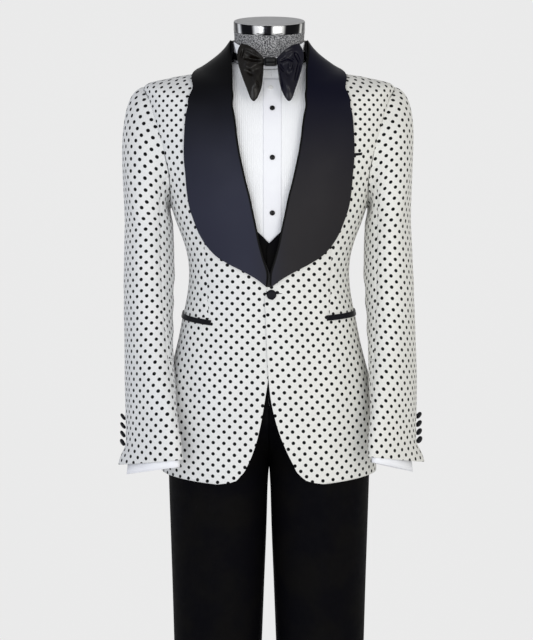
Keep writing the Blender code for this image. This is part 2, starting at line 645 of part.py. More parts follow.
SHIRT_RINGS = (0.955, 1.040, 1.110, 1.183, 1.250, 1.320, 1.345, 1.375,
               1.405, 1.435, 1.465, 1.4975, 1.530, 1.560, 1.585)
SHIRT_ARMHOLE = (
    (0.0, 1.4975, 0.004), (33.0, 1.465, -0.040), (62.0, 1.435, -0.054),
    (85.0, 1.405, -0.060), (110.0, 1.375, -0.054), (140.0, 1.345, -0.036),
    (180.0, 1.320, 0.006),
    (220.0, 1.345, 0.048), (250.0, 1.375, 0.062), (275.0, 1.405, 0.066),
    (298.0, 1.435, 0.060), (327.0, 1.465, 0.048),
)
CLOSURE_X = 0.0055  # where the shirt's fronts meet
COLLAR_TURNS = 24
COLLAR_RADIUS, COLLAR_Y = 0.0622, 0.0075
COLLAR_FOOT = (1.528, 1.545, 1.556)  # z at the front, side and back


def shirt_inset(ring, extra=0.0):
    """How deep the shirt lies: deeper below the waist, where the trousers cover it."""
    return SHIRT_INSET + extra + 7.5 * MM * (1 - fade(ring, 0.955, 1.035))


def shirt_sheets(ring, turn):
    """Outer and inner sheet of a shirt piece, ending in a row round the collar's foot."""
    sheets = []
    for wall in (0.0, SHIRT_WALL):
        radius = COLLAR_RADIUS - wall
        foot = neck_points(turn[-1], COLLAR_FOOT, radius)
        foot[:, 2] -= 1.2 * MM
        sheets.append(np.concatenate((layer(ring, turn, shirt_inset(ring, wall)), foot[None])))
    return sheets


def build_shirt_body():
    """Two fronts, a back and the placket."""
    for side, sign in (("left", 1.0), ("right", -1.0)):
        ring = np.array(SHIRT_RINGS)[:, None] * np.ones((1, 6))
        turn = np.zeros_like(ring)
        for i, level in enumerate(SHIRT_RINGS):
            start = float(turn_at_x(level, CLOSURE_X)) * sign
            turn[i] = np.linspace(start, seam_turn(level, SHIRT_ARMHOLE, True), 6)
        outer, inner = shirt_sheets(ring, turn)
        if side == "right":
            outer, inner = mirrored(outer), mirrored(inner)
        add_wall("shirt_front_" + side, outer, inner, WHITE,
                 sides=("first_column", "last_column"))
    ring = np.array(SHIRT_RINGS)[:, None] * np.ones((1, 10))
    turn = np.zeros_like(ring)
    for i, level in enumerate(SHIRT_RINGS):
        edge = seam_turn(level, SHIRT_ARMHOLE, False)
        turn[i] = np.linspace(edge, 2 * math.pi - edge, 10)
    outer, inner = shirt_sheets(ring, turn)
    add_wall("shirt_back", outer, inner, WHITE, sides=("first_column", "last_column"))
    rings = np.array([r for r in SHIRT_RINGS if 1.03 < r < 1.60])[:, None] * np.ones((1, 3))
    x = CLOSURE_X + np.array((-15.2, 0.0, 15.2))[None, :] * MM
    turns = turn_at_x(rings, x * np.ones_like(rings))
    top, bottom = SHIRT_INSET - 1.5 * MM, SHIRT_INSET - 0.5 * MM
    add_wall("shirt_placket", layer(rings, turns, top), layer(rings, turns, bottom), WHITE)


def neck_points(turns, levels, radius):
    """Points round the neck; levels gives z at the front, side and back."""
    along = np.cos(turns)
    front, side, back = levels
    z = side + np.where(along > 0, front - side, back - side) * np.abs(along) ** 1.5
    return np.stack((radius * np.sin(turns), COLLAR_Y - radius * along, z), axis=-1)


def neck_ring(levels, radius):
    """A whole ring of points round the neck."""
    turns = np.linspace(0, 2 * math.pi, COLLAR_TURNS, endpoint=False)
    return neck_points(turns, levels, radius)


def build_shirt_collar():
    """Standing collar band and its two folded wings."""
    rings = (COLLAR_FOOT, (1.538, 1.560, 1.574), (1.547, 1.576, 1.592))
    outer = np.stack([neck_ring(level, COLLAR_RADIUS) for level in rings])
    inner = np.stack([neck_ring(level, COLLAR_RADIUS - 1.1 * MM) for level in rings])
    add_wall("shirt_collar", outer, inner, WHITE, closed=True)
    for side in ("left", "right"):
        places = ((64.0, 1.5755), (47.0, 1.5680), (55.0, 1.5540))
        rings = []
        for lift in (4.3 * MM, 5.3 * MM):
            points = []
            for degrees, z in places:
                turn = math.radians(degrees)
                radius = COLLAR_RADIUS + lift
                points.append((radius * math.sin(turn), COLLAR_Y - radius * math.cos(turn), z))
            rings.append(points)
        rings = np.array(rings)
        if side == "right":
            rings = mirrored(rings)
        add_solid("collar_wing_" + side, rings, WHITE, smooth_shade=False)


SHIRT_TURNS = np.radians([hole[0] for hole in SHIRT_ARMHOLE])
SHIRT_SLEEVE_SLIM = 8.0 * MM
CUFF_LEVELS = (0.9245, 0.9120, 0.8880, 0.8640, 0.8580)
CUFF_SLIM = 6.0 * MM
# how far a cuff's end is short and ahead of its sleeve's, and shows at its front and back
CUFF_ENDS = {"left": (12.2 * MM, 12.0 * MM, 9.5 * MM, 14.5 * MM),
             "right": (6.6 * MM, 6.4 * MM, 12.0 * MM, 15.0 * MM)}


def shirt_cuff(turns, side):
    """Rows round a shirt cuff, which closes in and forwards towards its end."""
    short, ahead, front, back = CUFF_ENDS[side]
    close = fade(CUFF_LEVELS[1] - np.array(CUFF_LEVELS), 0.0, 0.046)[:, None]
    cuff = sleeve_sections(turns, CUFF_LEVELS, CUFF_SLIM, short * close, ahead * close)
    cuff[-1, :, 1] -= 4.5 * MM
    cuff[-1, :, 2] -= front + (back - front) * (1 - np.sin(turns)) / 2
    return cuff


def build_shirt_sleeves():
    """Plain tubes from the shirt's armholes into its cuffs."""
    ring = np.array([hole[1] for hole in SHIRT_ARMHOLE])
    turn = turn_at_y(ring, np.array([hole[2] for hole in SHIRT_ARMHOLE]))
    start = layer(ring, turn, SHIRT_INSET)
    top = sleeve_sections(SHIRT_TURNS, (1.250,), SHIRT_SLEEVE_SLIM + 2.5 * MM)[0]
    cap = sleeve_cap(start, SHIRT_TURNS, top, (0.0, 0.2, 0.42, 0.68, 1.0), 1.0, 1.2, 0.034)
    low = sleeve_sections(SHIRT_TURNS, (1.160, 1.060, 0.985, 0.925), SHIRT_SLEEVE_SLIM)
    outer = np.concatenate((cap, low))
    inner = sleeve_inside(outer, outward(ring, turn), SHIRT_WALL)
    cuff_turns = np.linspace(0, 2 * math.pi, 14, endpoint=False)
    for side in ("left", "right"):
        cuff = shirt_cuff(cuff_turns, side)
        cuff_inner = cuff - sheet_normals(cuff, True) * 1.2 * MM
        add_wall("shirt_sleeve_" + side, swing(outer, side), swing(inner, side), WHITE,
                 closed=True, sides=("first_row",))
        add_wall("shirt_cuff_" + side, swing(cuff, side), swing(cuff_inner, side), WHITE,
                 closed=True, sides=("first_row",))


def build_studs():
    """Three dark studs and the small white button at the collar."""
    for number, z in enumerate((1.4643, 1.3780, 1.2825)):
        ring, turn = front_place(CLOSURE_X, z)
        facing = outward(ring, turn)
        place = layer(ring, turn, SHIRT_INSET - 1.6 * MM)
        dome(f"shirt_stud_{number + 1}", place, facing, 4.4 * MM, 3.0 * MM, JET, segments=10)
    ring, turn = front_place(CLOSURE_X - 0.003, 1.5010)
    place = layer(ring, turn, SHIRT_INSET - 1.6 * MM)
    dome("shirt_button", place, outward(ring, turn), 4.6 * MM, 1.6 * MM, WHITE, segments=8)


# ---------------------------------------------------------------- bow tie

BOW_X = 0.0022
KNOT = (0.0112, 0.0085, 0.0073)  # half sizes
KNOT_AT = (BOW_X, -0.0745, 1.5390)
# outer outline of the left wing from its top corner to its tip: x from the centre, z
BOW_OUTER = ((0.0490, 1.5688), (0.0545, 1.5590), (0.0565, 1.5465), (0.0540, 1.5306),
             (0.0475, 1.5088), (0.0408, 1.4903), (0.0348, 1.4745), (0.0290, 1.4703),
             (0.0232, 1.4760))
BOW_TOP = ((0.0116, 1.5450), (0.0240, 1.5572), (0.0365, 1.5655), (0.0490, 1.5688))
BOW_BOTTOM = ((0.0116, 1.5335), (0.0130, 1.5120), (0.0165, 1.4920), (0.0232, 1.4760))
BOW_ACROSS, BOW_DOWN = 7, 9


def bow_wing(across, down):
    """Front and back sheets of the left wing, from the knot out by rows from top to tip."""
    u = np.linspace(0, 1, across + 1)[:, None]
    v = np.linspace(0, 1, down + 1)[None, :]
    sheets = []
    for k in (0, 1):
        outer = smooth(np.linspace(0, 1, len(BOW_OUTER)), [p[k] for p in BOW_OUTER], v)
        knot = BOW_TOP[0][k] * (1 - v) + BOW_BOTTOM[0][k] * v
        top = smooth(np.linspace(0, 1, 4), [p[k] for p in BOW_TOP], u)
        low = smooth(np.linspace(0, 1, 4), [p[k] for p in BOW_BOTTOM], u)
        straight = knot * (1 - u) + outer * u
        ends_top = BOW_TOP[0][k] * (1 - u) + BOW_TOP[-1][k] * u
        ends_low = BOW_BOTTOM[0][k] * (1 - u) + BOW_BOTTOM[-1][k] * u
        sheets.append(straight + (top - ends_top) * (1 - v) + (low - ends_low) * v)
    x, z = sheets
    middle = -0.0735 - 0.0290 * fade(1.575 - z, 0.0, 0.105) - 0.004 * u
    swell = np.sin(math.pi * np.clip(u * 0.93 + 0.05, 0, 1)) ** 0.7 * np.sin(math.pi * v) ** 0.6
    swell = swell * np.ones_like(z)
    front = np.stack((x, middle - 0.0085 * swell, z), axis=-1)
    back = np.stack((x, middle + 0.0020 * swell, z), axis=-1)
    return front, back


def build_bow_tie():
    """Two drooping wings, the knot and the band round the collar."""
    front, back = bow_wing(BOW_ACROSS, BOW_DOWN)
    rows, columns = front.shape[:2]
    rim = np.zeros((rows, columns), bool)
    rim[[0, -1], :] = rim[:, [0, -1]] = True
    back[rim] = front[rim]
    for side in ("left", "right"):
        flip = 1 if side == "left" else -1
        points, index = [], {}
        for layer_name, sheet in (("front", front), ("back", back)):
            for i in range(rows):
                for j in range(columns):
                    if layer_name == "back" and rim[i, j]:
                        index["back", i, j] = index["front", i, j]
                        continue
                    index[layer_name, i, j] = len(points)
                    x, y, z = sheet[i, j]
                    points.append((BOW_X + flip * x + 0.022 * (1.545 - z), y, z + 0.0012))
        faces = []
        for layer_name in ("front", "back"):
            for i in range(rows - 1):
                for j in range(columns - 1):
                    quad = [index[layer_name, a, b]
                            for a, b in ((i, j), (i + 1, j), (i + 1, j + 1), (i, j + 1))]
                    faces.append(quad if layer_name == "front" else quad[::-1])
        add_mesh("bow_wing_" + side, points, faces, BLACK_SATIN)
    angles = np.linspace(0, 2 * math.pi, 12, endpoint=False)
    rings = []
    for lift in (-1.0, -0.8, -0.3, 0.3, 0.8, 1.0):
        size = (1 - 0.55 * abs(lift) ** 6)
        rings.append([(KNOT_AT[0] + KNOT[0] * size * math.copysign(abs(math.cos(a)) ** 0.6,
                                                                   math.cos(a)),
                       KNOT_AT[1] + KNOT[1] * size * math.sin(a),
                       KNOT_AT[2] + KNOT[2] * lift) for a in angles])
    add_solid("bow_knot", np.array(rings), BLACK_SATIN)
    low, high = (1.5345, 1.5490, 1.5610), (1.5460, 1.5620, 1.5745)
    outer = np.stack([neck_ring(level, 0.0648) for level in (low, high)])
    inner = np.stack([neck_ring(level, 0.0637) for level in (low, high)])
    gap = 3  # columns left open behind the wings and the knot
    keep = np.arange(gap, COLLAR_TURNS - gap + 1)
    add_wall("bow_band", outer[:, keep], inner[:, keep], BLACK_SATIN)


# ---------------------------------------------------------------- trousers

# leg below the crotch: z, inner x, outer x, front y, back y
LEG = np.array((
    (0.048, 0.0262, 0.1580, -0.0680, 0.0720),
    (0.200, 0.0232, 0.1605, -0.0695, 0.0725),
    (0.400, 0.0175, 0.1645, -0.0720, 0.0740),
    (0.531, 0.0123, 0.1677, -0.0755, 0.0765),
    (0.638, 0.0081, 0.1705, -0.0830, 0.0830),
    (0.731, 0.0044, 0.1733, -0.0885, 0.0900),
    (0.780, 0.0030, 0.1748, -0.0915, 0.0940),
    (0.830, 0.0020, 0.1762, -0.0935, 0.0970),
))
CROTCH, HIP = 0.832, 0.935
WAIST_TOP, BAND_LOW = 1.030, 0.995
LEG_LEVELS = (0.048, 0.160, 0.280, 0.390, 0.490, 0.580, 0.660, 0.731,
              0.775, 0.810, 0.832, 0.855, 0.880, 0.910, 0.940, 0.970, 0.995)
CREASE_TURN = math.radians(8.0)
LEG_COLUMNS = 8
# inset of the trousers under the jacket's face: ring, inset
TROUSER_INSET = ((0.825, 0.0165), (0.880, 0.0160), (0.930, 0.0140), (0.990, 0.0090),
                 (1.030, 0.0085))


def leg_point(z, turn, slim=0.0):
    """Points round the left leg; turn 0 at the front, 90 outside, -90 inside."""
    x_in, x_out, y_front, y_back = (smooth(LEG[:, 0], LEG[:, k], z) for k in range(1, 5))
    centre, half = (x_in + x_out) / 2, (x_out - x_in) / 2 - slim
    across, along = np.sin(turn), np.cos(turn)
    x = centre + half * np.sign(across) * np.abs(across) ** 0.95
    reach = np.sign(along) * np.abs(along) ** 0.95
    y = np.where(along > 0, (y_front + slim) * reach, -(y_back - slim) * reach)
    crease = np.exp(-(np.abs(turn - CREASE_TURN) / 0.16)) * fade(0.93 - z, 0.0, 0.15)
    back_crease = np.exp(-(np.abs(np.abs(turn) - math.pi + 0.1) / 0.16))
    back_crease = back_crease * fade(0.88 - z, 0.0, 0.15)
    y = y - 0.0042 * crease + 0.0042 * back_crease * (turn > 0)
    return np.stack((x, y, z + 0 * x), axis=-1)


def trouser_columns(back):
    """Turns round the leg for the front (inside to outside) or the back (outside to in)."""
    half = math.pi / 2
    if back:
        return np.linspace(half, 3 * half, LEG_COLUMNS + 1)
    return np.concatenate((np.linspace(-half, CREASE_TURN, LEG_COLUMNS // 2 + 1),
                           np.linspace(CREASE_TURN, half, LEG_COLUMNS // 2 + 1)[1:]))


def trouser_sheet(levels, back, slim):
    """A front or back piece of the left half, waist and leg in one."""
    turns = trouser_columns(back)
    z = np.array(levels)[:, None] * np.ones((1, len(turns)))
    leg = leg_point(z, np.where(turns > math.pi, turns - 2 * math.pi, turns) * np.ones_like(z),
                    slim)
    share = np.linspace(0, 1, len(turns))[None, :] * np.ones_like(z)
    hip_turn = (share if not back else 1 + share) * math.pi / 2
    ring = np.clip(z, HEM_RING + 0.001, None)
    inset = smooth([t[0] for t in TROUSER_INSET], [t[1] for t in TROUSER_INSET], ring) + slim
    hip = layer(ring, hip_turn, inset)
    hip[..., 2] = z
    weight = fade(z, CROTCH, HIP)[..., None]
    return leg * (1 - weight) + hip * weight


def build_trousers():
    """Front and back of each half, with the waistband above them."""
    for part in ("front", "back"):
        back = part == "back"
        outer = trouser_sheet(LEG_LEVELS, back, 0.0)
        inner = trouser_sheet(LEG_LEVELS, back, TROUSER_WALL)
        centre = -1 if back else 0
        for sheet in (outer, inner):
            sheet[:, centre, 0] = np.maximum(sheet[:, centre, 0], 0.3 * MM)
        sides = ("first_column", "last_column", "last_row")
        add_wall(f"trouser_{part}_left", outer, inner, BLACK_WOOL, sides=sides)
        add_wall(f"trouser_{part}_right", mirrored(outer), mirrored(inner), BLACK_WOOL,
                 sides=sides)
    turns = np.linspace(0, 2 * math.pi, 24, endpoint=False)
    levels = np.array((BAND_LOW, WAIST_TOP))[:, None] * np.ones((1, 24))
    outer, inner = layer(levels, turns, 0.0088), layer(levels, turns, 0.0088 + TROUSER_WALL)
    outer[..., 2] = inner[..., 2] = levels
    add_wall("trouser_waistband", outer, inner, BLACK_WOOL, closed=True, sides=("first_row",))


# ---------------------------------------------------------------- dress form and stand

FORM_TURNS = 24
FORM_LEVELS = (0.980, 1.060, 1.183, 1.290, 1.375, 1.450, 1.4975, 1.530, 1.560, 1.585)
NECK_RADIUS = 0.0598
CAP_RADIUS = 0.0620
CAP_TILT = math.radians(11.0)
NECK_TOP = (0.0005, 0.0045, 1.5965)  # centre of the band's lower edge
ROD_X, ROD_RADIUS, ROD_TOP = 0.089, 0.013, 0.9375
PLATE = (0.230, 0.150, 0.008)  # half width, half depth, height


def tilted_disc(centre, radius, rise):
    """A ring round the leaning neck, a set rise along its axis."""
    angles = np.linspace(0, 2 * math.pi, FORM_TURNS, endpoint=False)
    x, forward = radius * np.sin(angles), -radius * np.cos(angles)
    cos_tilt, sin_tilt = math.cos(CAP_TILT), math.sin(CAP_TILT)
    y = centre[1] + forward * cos_tilt - rise * sin_tilt
    z = centre[2] + forward * sin_tilt + rise * cos_tilt
    return np.stack((centre[0] + x, y, z), axis=-1)


def build_form():
    """A limbless torso with a neck, closed below the hips."""
    turns = np.linspace(0, 2 * math.pi, FORM_TURNS, endpoint=False)
    rings = []
    for share, level in ((0.50, 0.938), (0.82, 0.940), (0.96, 0.947)):
        ring = layer(np.full(FORM_TURNS, 0.955), turns, 0.0240)
        ring[:, 2] = level
        ring[:, :2] = ring[:, :2] * np.array((share, share))
        rings.append(ring)
    for level in FORM_LEVELS:
        inset = FORM_INSET + 0.0060 * (1 - float(fade(level, 1.00, 1.08)))
        ring = layer(np.full(FORM_TURNS, level), turns, inset)
        rings.append(ring)
    for front, back in ((1.517, 1.548), (1.552, 1.577)):
        rings.append(form_neck_ring(NECK_RADIUS, front, back))
    rings.append(tilted_disc(NECK_TOP, NECK_RADIUS + 0.0010, -0.0080))
    rings.append(tilted_disc(NECK_TOP, NECK_RADIUS + 0.0018, -0.0003))
    add_solid("form_torso", np.array(rings), LINEN)
    band = [tilted_disc(NECK_TOP, CAP_RADIUS, h) for h in (0.0, 0.0160)]
    add_solid("neck_band", np.array(band), CHROME)
    cap = [tilted_disc(NECK_TOP, r, h) for r, h in
           ((CAP_RADIUS - 0.0006, 0.0163), (CAP_RADIUS - 0.0006, 0.0170),
            (CAP_RADIUS - 0.0030, 0.0180))]
    add_solid("neck_cap", np.array(cap), GREY)


def form_neck_ring(radius, front, back):
    """A ring of the form's neck that rises from front to back."""
    turns = np.linspace(0, 2 * math.pi, FORM_TURNS, endpoint=False)
    share = (1 - np.cos(turns)) / 2
    return np.stack((radius * np.sin(turns), COLLAR_Y - radius * np.cos(turns),
                     front + (back - front) * share), axis=-1)


def build_stand():
    """A flat base and two upright rods that run up inside the trouser legs."""
    half_x, half_y, height = PLATE
    corner = 0.030
    angles = np.radians(np.arange(0, 360, 15.0))
    outline = []
    for angle in angles:
        cx = math.copysign(half_x - corner, math.cos(angle + 1e-6))
        cy = math.copysign(half_y - corner, math.sin(angle + 1e-6))
        outline.append((cx + corner * math.cos(angle), cy + corner * math.sin(angle)))
    rings = [[(x * s, y * s, z) for x, y in outline]
             for s, z in ((1.0, 0.0), (1.0, height - 0.002), (0.992, height))]
    add_solid("stand_base", np.array(rings), PAINTED_STEEL, smooth_shade=False)
    angles = np.linspace(0, 2 * math.pi, 16, endpoint=False)
    for side, x in (("left", ROD_X), ("right", -ROD_X)):
        rings = [[(x + ROD_RADIUS * math.cos(a), 0.004 + ROD_RADIUS * math.sin(a), z)
                  for a in angles] for z in (height + 0.0003, ROD_TOP)]
        add_solid("stand_rod_" + side, np.array(rings), BRUSHED_STEEL)


# ---------------------------------------------------------------- build

for startup_object in list(bpy.data.objects):
    bpy.data.objects.remove(startup_object, do_unlink=True)
PARTS = new_collection("tuxedo")
IVORY = paint("ivory_dotted_cloth", (0.78, 0.76, 0.70), 0.55)
BLACK_SATIN = paint("black_satin", (0.012, 0.013, 0.020), 0.35)
BLACK_WOOL = paint("black_cloth", (0.010, 0.010, 0.013), 0.75)
WHITE = paint("white_cotton", (0.86, 0.87, 0.90), 0.70)
JET = paint("black_stud", (0.010, 0.010, 0.012), 0.20)
LINEN = paint("grey_linen", (0.30, 0.30, 0.31), 0.90)
CHROME = paint("chrome_band", (0.75, 0.75, 0.77), 0.10)
GREY = paint("grey_cap", (0.20, 0.20, 0.21), 0.50)
PAINTED_STEEL = paint("stand_paint", (0.22, 0.22, 0.23), 0.45)
BRUSHED_STEEL = paint("stand_steel", (0.55, 0.55, 0.57), 0.35)

build_jacket_body()
build_sleeves()
build_shawl()
build_jacket_trim()
build_vest()
build_shirt_body()
build_shirt_collar()
build_shirt_sleeves()
build_studs()
build_bow_tie()
build_trousers()
build_form()
build_stand()
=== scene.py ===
"""Looks of the tuxedo: cloth, trim, dress form, stand, light and camera.

Lengths are in metres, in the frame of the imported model: +Z up, the front faces -Y and the
wearer's left is +X. Each garment is worked out from one figure, a table of rings from the
jacket's hem to the fold of its collar, as its solid is, but on a finer grid. A place on the
figure is a ring (its height label) and a turn (0 at the centre front, 90 degrees at the
side, 180 at the centre back). UV maps are in metres of cloth: u runs round the wearer and
v runs up the cloth.
"""
import math

import bmesh
import bpy
import numpy as np
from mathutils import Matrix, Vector


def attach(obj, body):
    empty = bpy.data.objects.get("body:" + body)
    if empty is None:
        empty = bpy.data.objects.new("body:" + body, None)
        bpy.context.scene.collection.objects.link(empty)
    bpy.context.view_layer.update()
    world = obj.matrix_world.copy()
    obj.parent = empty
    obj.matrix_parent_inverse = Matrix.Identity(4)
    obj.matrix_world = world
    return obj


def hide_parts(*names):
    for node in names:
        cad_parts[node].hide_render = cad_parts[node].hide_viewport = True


MM = 0.001
SEAM = 0.15 * MM  # half of the gap between two pieces at a seam
SIDES = (("left", 1.0), ("right", -1.0))  # the wearer's sides; the left one laps over, outwards

# ring, side x, side y, side z, front y, front z, back y, back z, fullness
FIGURE = np.array((
    (0.825, 0.1885, 0.004, 0.831, -0.1220, 0.818, 0.1280, 0.825, 2.20),
    (0.860, 0.1890, 0.004, 0.862, -0.1225, 0.858, 0.1300, 0.860, 2.20),
    (0.920, 0.1870, 0.004, 0.920, -0.1220, 0.920, 0.1310, 0.920, 2.20),
    (0.970, 0.1800, 0.003, 0.970, -0.1205, 0.970, 0.1260, 0.970, 2.20),
    (1.000, 0.1742, 0.002, 1.000, -0.1190, 1.000, 0.1200, 1.000, 2.20),
    (1.030, 0.1662, 0.001, 1.030, -0.1170, 1.030, 0.1120, 1.030, 2.20),
    (1.060, 0.1588, 0.000, 1.060, -0.1150, 1.060, 0.1040, 1.060, 2.20),
    (1.100, 0.1510, 0.000, 1.100, -0.1130, 1.100, 0.0950, 1.100, 2.20),
    (1.130, 0.1445, 0.000, 1.130, -0.1120, 1.130, 0.0895, 1.130, 2.20),
    (1.155, 0.1407, 0.000, 1.155, -0.1115, 1.155, 0.0870, 1.155, 2.20),
    (1.183, 0.1394, 0.000, 1.183, -0.1120, 1.183, 0.0865, 1.183, 2.20),
    (1.208, 0.1420, 0.000, 1.208, -0.1135, 1.208, 0.0885, 1.208, 2.25),
    (1.234, 0.1490, 0.000, 1.234, -0.1160, 1.234, 0.0930, 1.234, 2.35),
    (1.258, 0.1580, 0.000, 1.258, -0.1185, 1.258, 0.0985, 1.258, 2.45),
    (1.290, 0.1690, 0.000, 1.290, -0.1215, 1.290, 0.1065, 1.290, 2.50),
    (1.320, 0.1765, 0.000, 1.320, -0.1232, 1.318, 0.1125, 1.319, 2.42),
    (1.345, 0.1850, 0.000, 1.345, -0.1235, 1.340, 0.1165, 1.343, 2.38),
    (1.375, 0.1970, 0.000, 1.375, -0.1228, 1.365, 0.1195, 1.371, 2.35),
    (1.405, 0.2050, 0.000, 1.405, -0.1202, 1.389, 0.1205, 1.398, 2.35),
    (1.435, 0.2098, 0.001, 1.435, -0.1160, 1.413, 0.1190, 1.425, 2.35),
    (1.460, 0.2118, 0.002, 1.460, -0.1110, 1.433, 0.1165, 1.448, 2.35),
    (1.480, 0.2135, 0.003, 1.482, -0.1055, 1.449, 0.1135, 1.465, 2.35),
    (1.4975, 0.2165, 0.004, 1.5000, -0.1000, 1.462, 0.1100, 1.480, 2.35),
    (1.530, 0.1700, 0.006, 1.5155, -0.0900, 1.484, 0.1035, 1.503, 2.30),
    (1.560, 0.1250, 0.008, 1.5265, -0.0800, 1.502, 0.0965, 1.524, 2.20),
    (1.585, 0.0980, 0.008, 1.5430, -0.0700, 1.517, 0.0895, 1.543, 2.15),
    (1.610, 0.0765, 0.006, 1.5615, -0.0610, 1.531, 0.0820, 1.566, 2.10),
    (1.630, 0.0645, 0.004, 1.5790, -0.0550, 1.543, 0.0765, 1.592, 2.05),
))
HEM_RING, TOP_RING = FIGURE[0, 0], FIGURE[-1, 0]

# armhole of the jacket: turn round the sleeve, ring, y
ARMHOLE = (
    (0.0, 1.4975, 0.004),
    (24.6, 1.480, -0.028), (42.6, 1.460, -0.044), (62.0, 1.435, -0.056),
    (83.0, 1.405, -0.064), (103.5, 1.375, -0.065), (124.0, 1.345, -0.058),
    (144.0, 1.320, -0.042), (161.0, 1.301, -0.018),
    (180.0, 1.290, 0.010),
    (199.0, 1.301, 0.036), (216.0, 1.320, 0.054), (236.0, 1.345, 0.066),
    (256.5, 1.375, 0.072), (277.0, 1.405, 0.072), (298.0, 1.435, 0.065),
    (317.4, 1.460, 0.052), (335.4, 1.480, 0.034),
)
FRONT_SEAM, BACK_SEAM = 6, 14  # armhole points where the two sleeve seams start

# the sleeve below the armhole: z, centre x, centre y, half length, half thickness, angle
SLEEVE = np.array((
    (0.858, 0.2108, -0.1000, 0.0695, 0.0240, 42.0),
    (0.871, 0.2092, -0.0955, 0.0683, 0.0264, 45.0),
    (0.889, 0.2053, -0.0925, 0.0634, 0.0286, 49.0),
    (0.905, 0.2059, -0.0872, 0.0641, 0.0302, 53.0),
    (0.930, 0.2078, -0.0765, 0.0667, 0.0318, 58.0),
    (0.990, 0.2104, -0.0500, 0.0729, 0.0385, 70.0),
    (1.060, 0.2112, -0.026, 0.0745, 0.0415, 80.0),
    (1.130, 0.2103, -0.012, 0.0775, 0.0428, 86.0),
    (1.200, 0.2085, -0.003, 0.0805, 0.0428, 90.0),
    (1.262, 0.2080, 0.001, 0.0830, 0.0415, 90.0),
))
SLEEVE_RING = SLEEVE[-1, 0]
# both sleeves lean to the wearer's left: z, lean of the inner side, of the outer side
SLEEVE_LEAN = np.array((
    (0.840, 0.0124, 0.0043), (0.890, 0.0100, 0.0033), (0.953, 0.0073, 0.0034),
    (1.000, 0.0047, 0.0030), (1.130, 0.0008, 0.0000), (1.200, 0.0000, -0.0012),
    (1.300, 0.0000, -0.0026), (1.400, 0.0000, -0.0025), (1.460, 0.0000, -0.0010),
    (1.500, 0.0000, 0.0000),
))
# leaving direction of the sleeve at the armhole: turn, x, y, z
SLEEVE_START = np.array((
    (0, 0.160, 0.000, -0.020), (45, 0.125, -0.035, -0.030), (90, 0.075, -0.040, -0.040),
    (135, 0.050, -0.030, -0.025), (180, 0.032, 0.000, -0.006), (225, 0.050, 0.030, -0.025),
    (270, 0.075, 0.040, -0.040), (315, 0.125, 0.035, -0.030), (360, 0.160, 0.000, -0.020),
))
LEAN_FROM, LEAN_OVER = 0.168, 0.085  # x where the inner side's lean ends, and width of the change
CUFF_SLOPE = 0.010  # the sleeve's hem is this much lower at its back edge
LEFT_HIGHER = 0.005  # the left sleeve's hem hangs this much higher than the right one's
HEM_LEVELS, LEFT_LEVELS = (0.858, 1.000), (0.860, 1.000)  # each of them fades out over these z

# jacket opening, from the hem to the collar's fold: ring, x
ROLL_LINE = (
    (1.234, 0.0185), (1.260, 0.0240), (1.290, 0.0300), (1.320, 0.0380),
    (1.345, 0.0435), (1.375, 0.0500), (1.405, 0.0550), (1.435, 0.0590),
    (1.480, 0.0630), (1.4975, 0.0635), (1.530, 0.0642), (1.560, 0.0646),
    (1.585, 0.0648), (1.610, 0.0648), (1.630, 0.0640),
)
OVER_EDGE = (
    (0.825, 0.0930), (0.829, 0.0740), (0.840, 0.0540), (0.860, 0.0400),
    (0.885, 0.0272), (0.920, 0.0140), (0.960, 0.0042), (1.000, -0.0008),
    (1.030, -0.0027), (1.100, -0.0052), (1.146, -0.0055), (1.160, -0.0010),
    (1.183, 0.0042), (1.208, 0.0117)) + ROLL_LINE
UNDER_EDGE = (
    (0.825, 0.0885), (0.829, 0.0670), (0.840, 0.0490), (0.860, 0.0350),
    (0.885, 0.0245), (0.920, 0.0152), (0.960, 0.0080), (1.000, 0.0015),
    (1.030, -0.0040), (1.100, -0.0130), (1.146, -0.0130), (1.160, -0.0090),
    (1.183, -0.0002), (1.208, 0.0097)) + ROLL_LINE

# shawl collar: fold x and z, outer edge x and z, on the front
SHAWL = (
    (0.0010, 1.1610, 0.0050, 1.1590),
    (0.0022, 1.1830, 0.0230, 1.1725),
    (0.0093, 1.2080, 0.0475, 1.1865),
    (0.0160, 1.2340, 0.0700, 1.1985),
    (0.0215, 1.2620, 0.0925, 1.2145),
    (0.0290, 1.2980, 0.1120, 1.2400),
    (0.0380, 1.3350, 0.1275, 1.2760),
    (0.0465, 1.3730, 0.1370, 1.3180),
    (0.0530, 1.4100, 0.1412, 1.3620),
    (0.0575, 1.4450, 0.1424, 1.4070),
    (0.0602, 1.4780, 0.1403, 1.4450),
    (0.0618, 1.5080, 0.1350, 1.4790),
    (0.0632, 1.5380, 0.1305, 1.5020),
)
SHAWL_SHOULDER_RING, SHAWL_BACK_RING = 1.560, 1.597  # its outer edge behind the shoulder
SHAWL_BACK_TURNS = (82, 97, 113, 130, 147, 164, 180)  # places of the collar round the neck
SHAWL_CROSSES = 1.20  # below this height the right half's fold lies past the middle,
MIDDLE_X = 2.0 * MM  # which is this x

JACKET_WALL, STAND_WALL = 2.2 * MM, 1.2 * MM
LAP_LIFT = 1.6 * MM  # the fronts stand this far out and in of the figure where they lap
SHAWL_LIFT, SHAWL_WALL = 2.4 * MM, 2.0 * MM
NECK_LIFT, UNDER_COLLAR = 1.8 * MM, 1.5 * MM
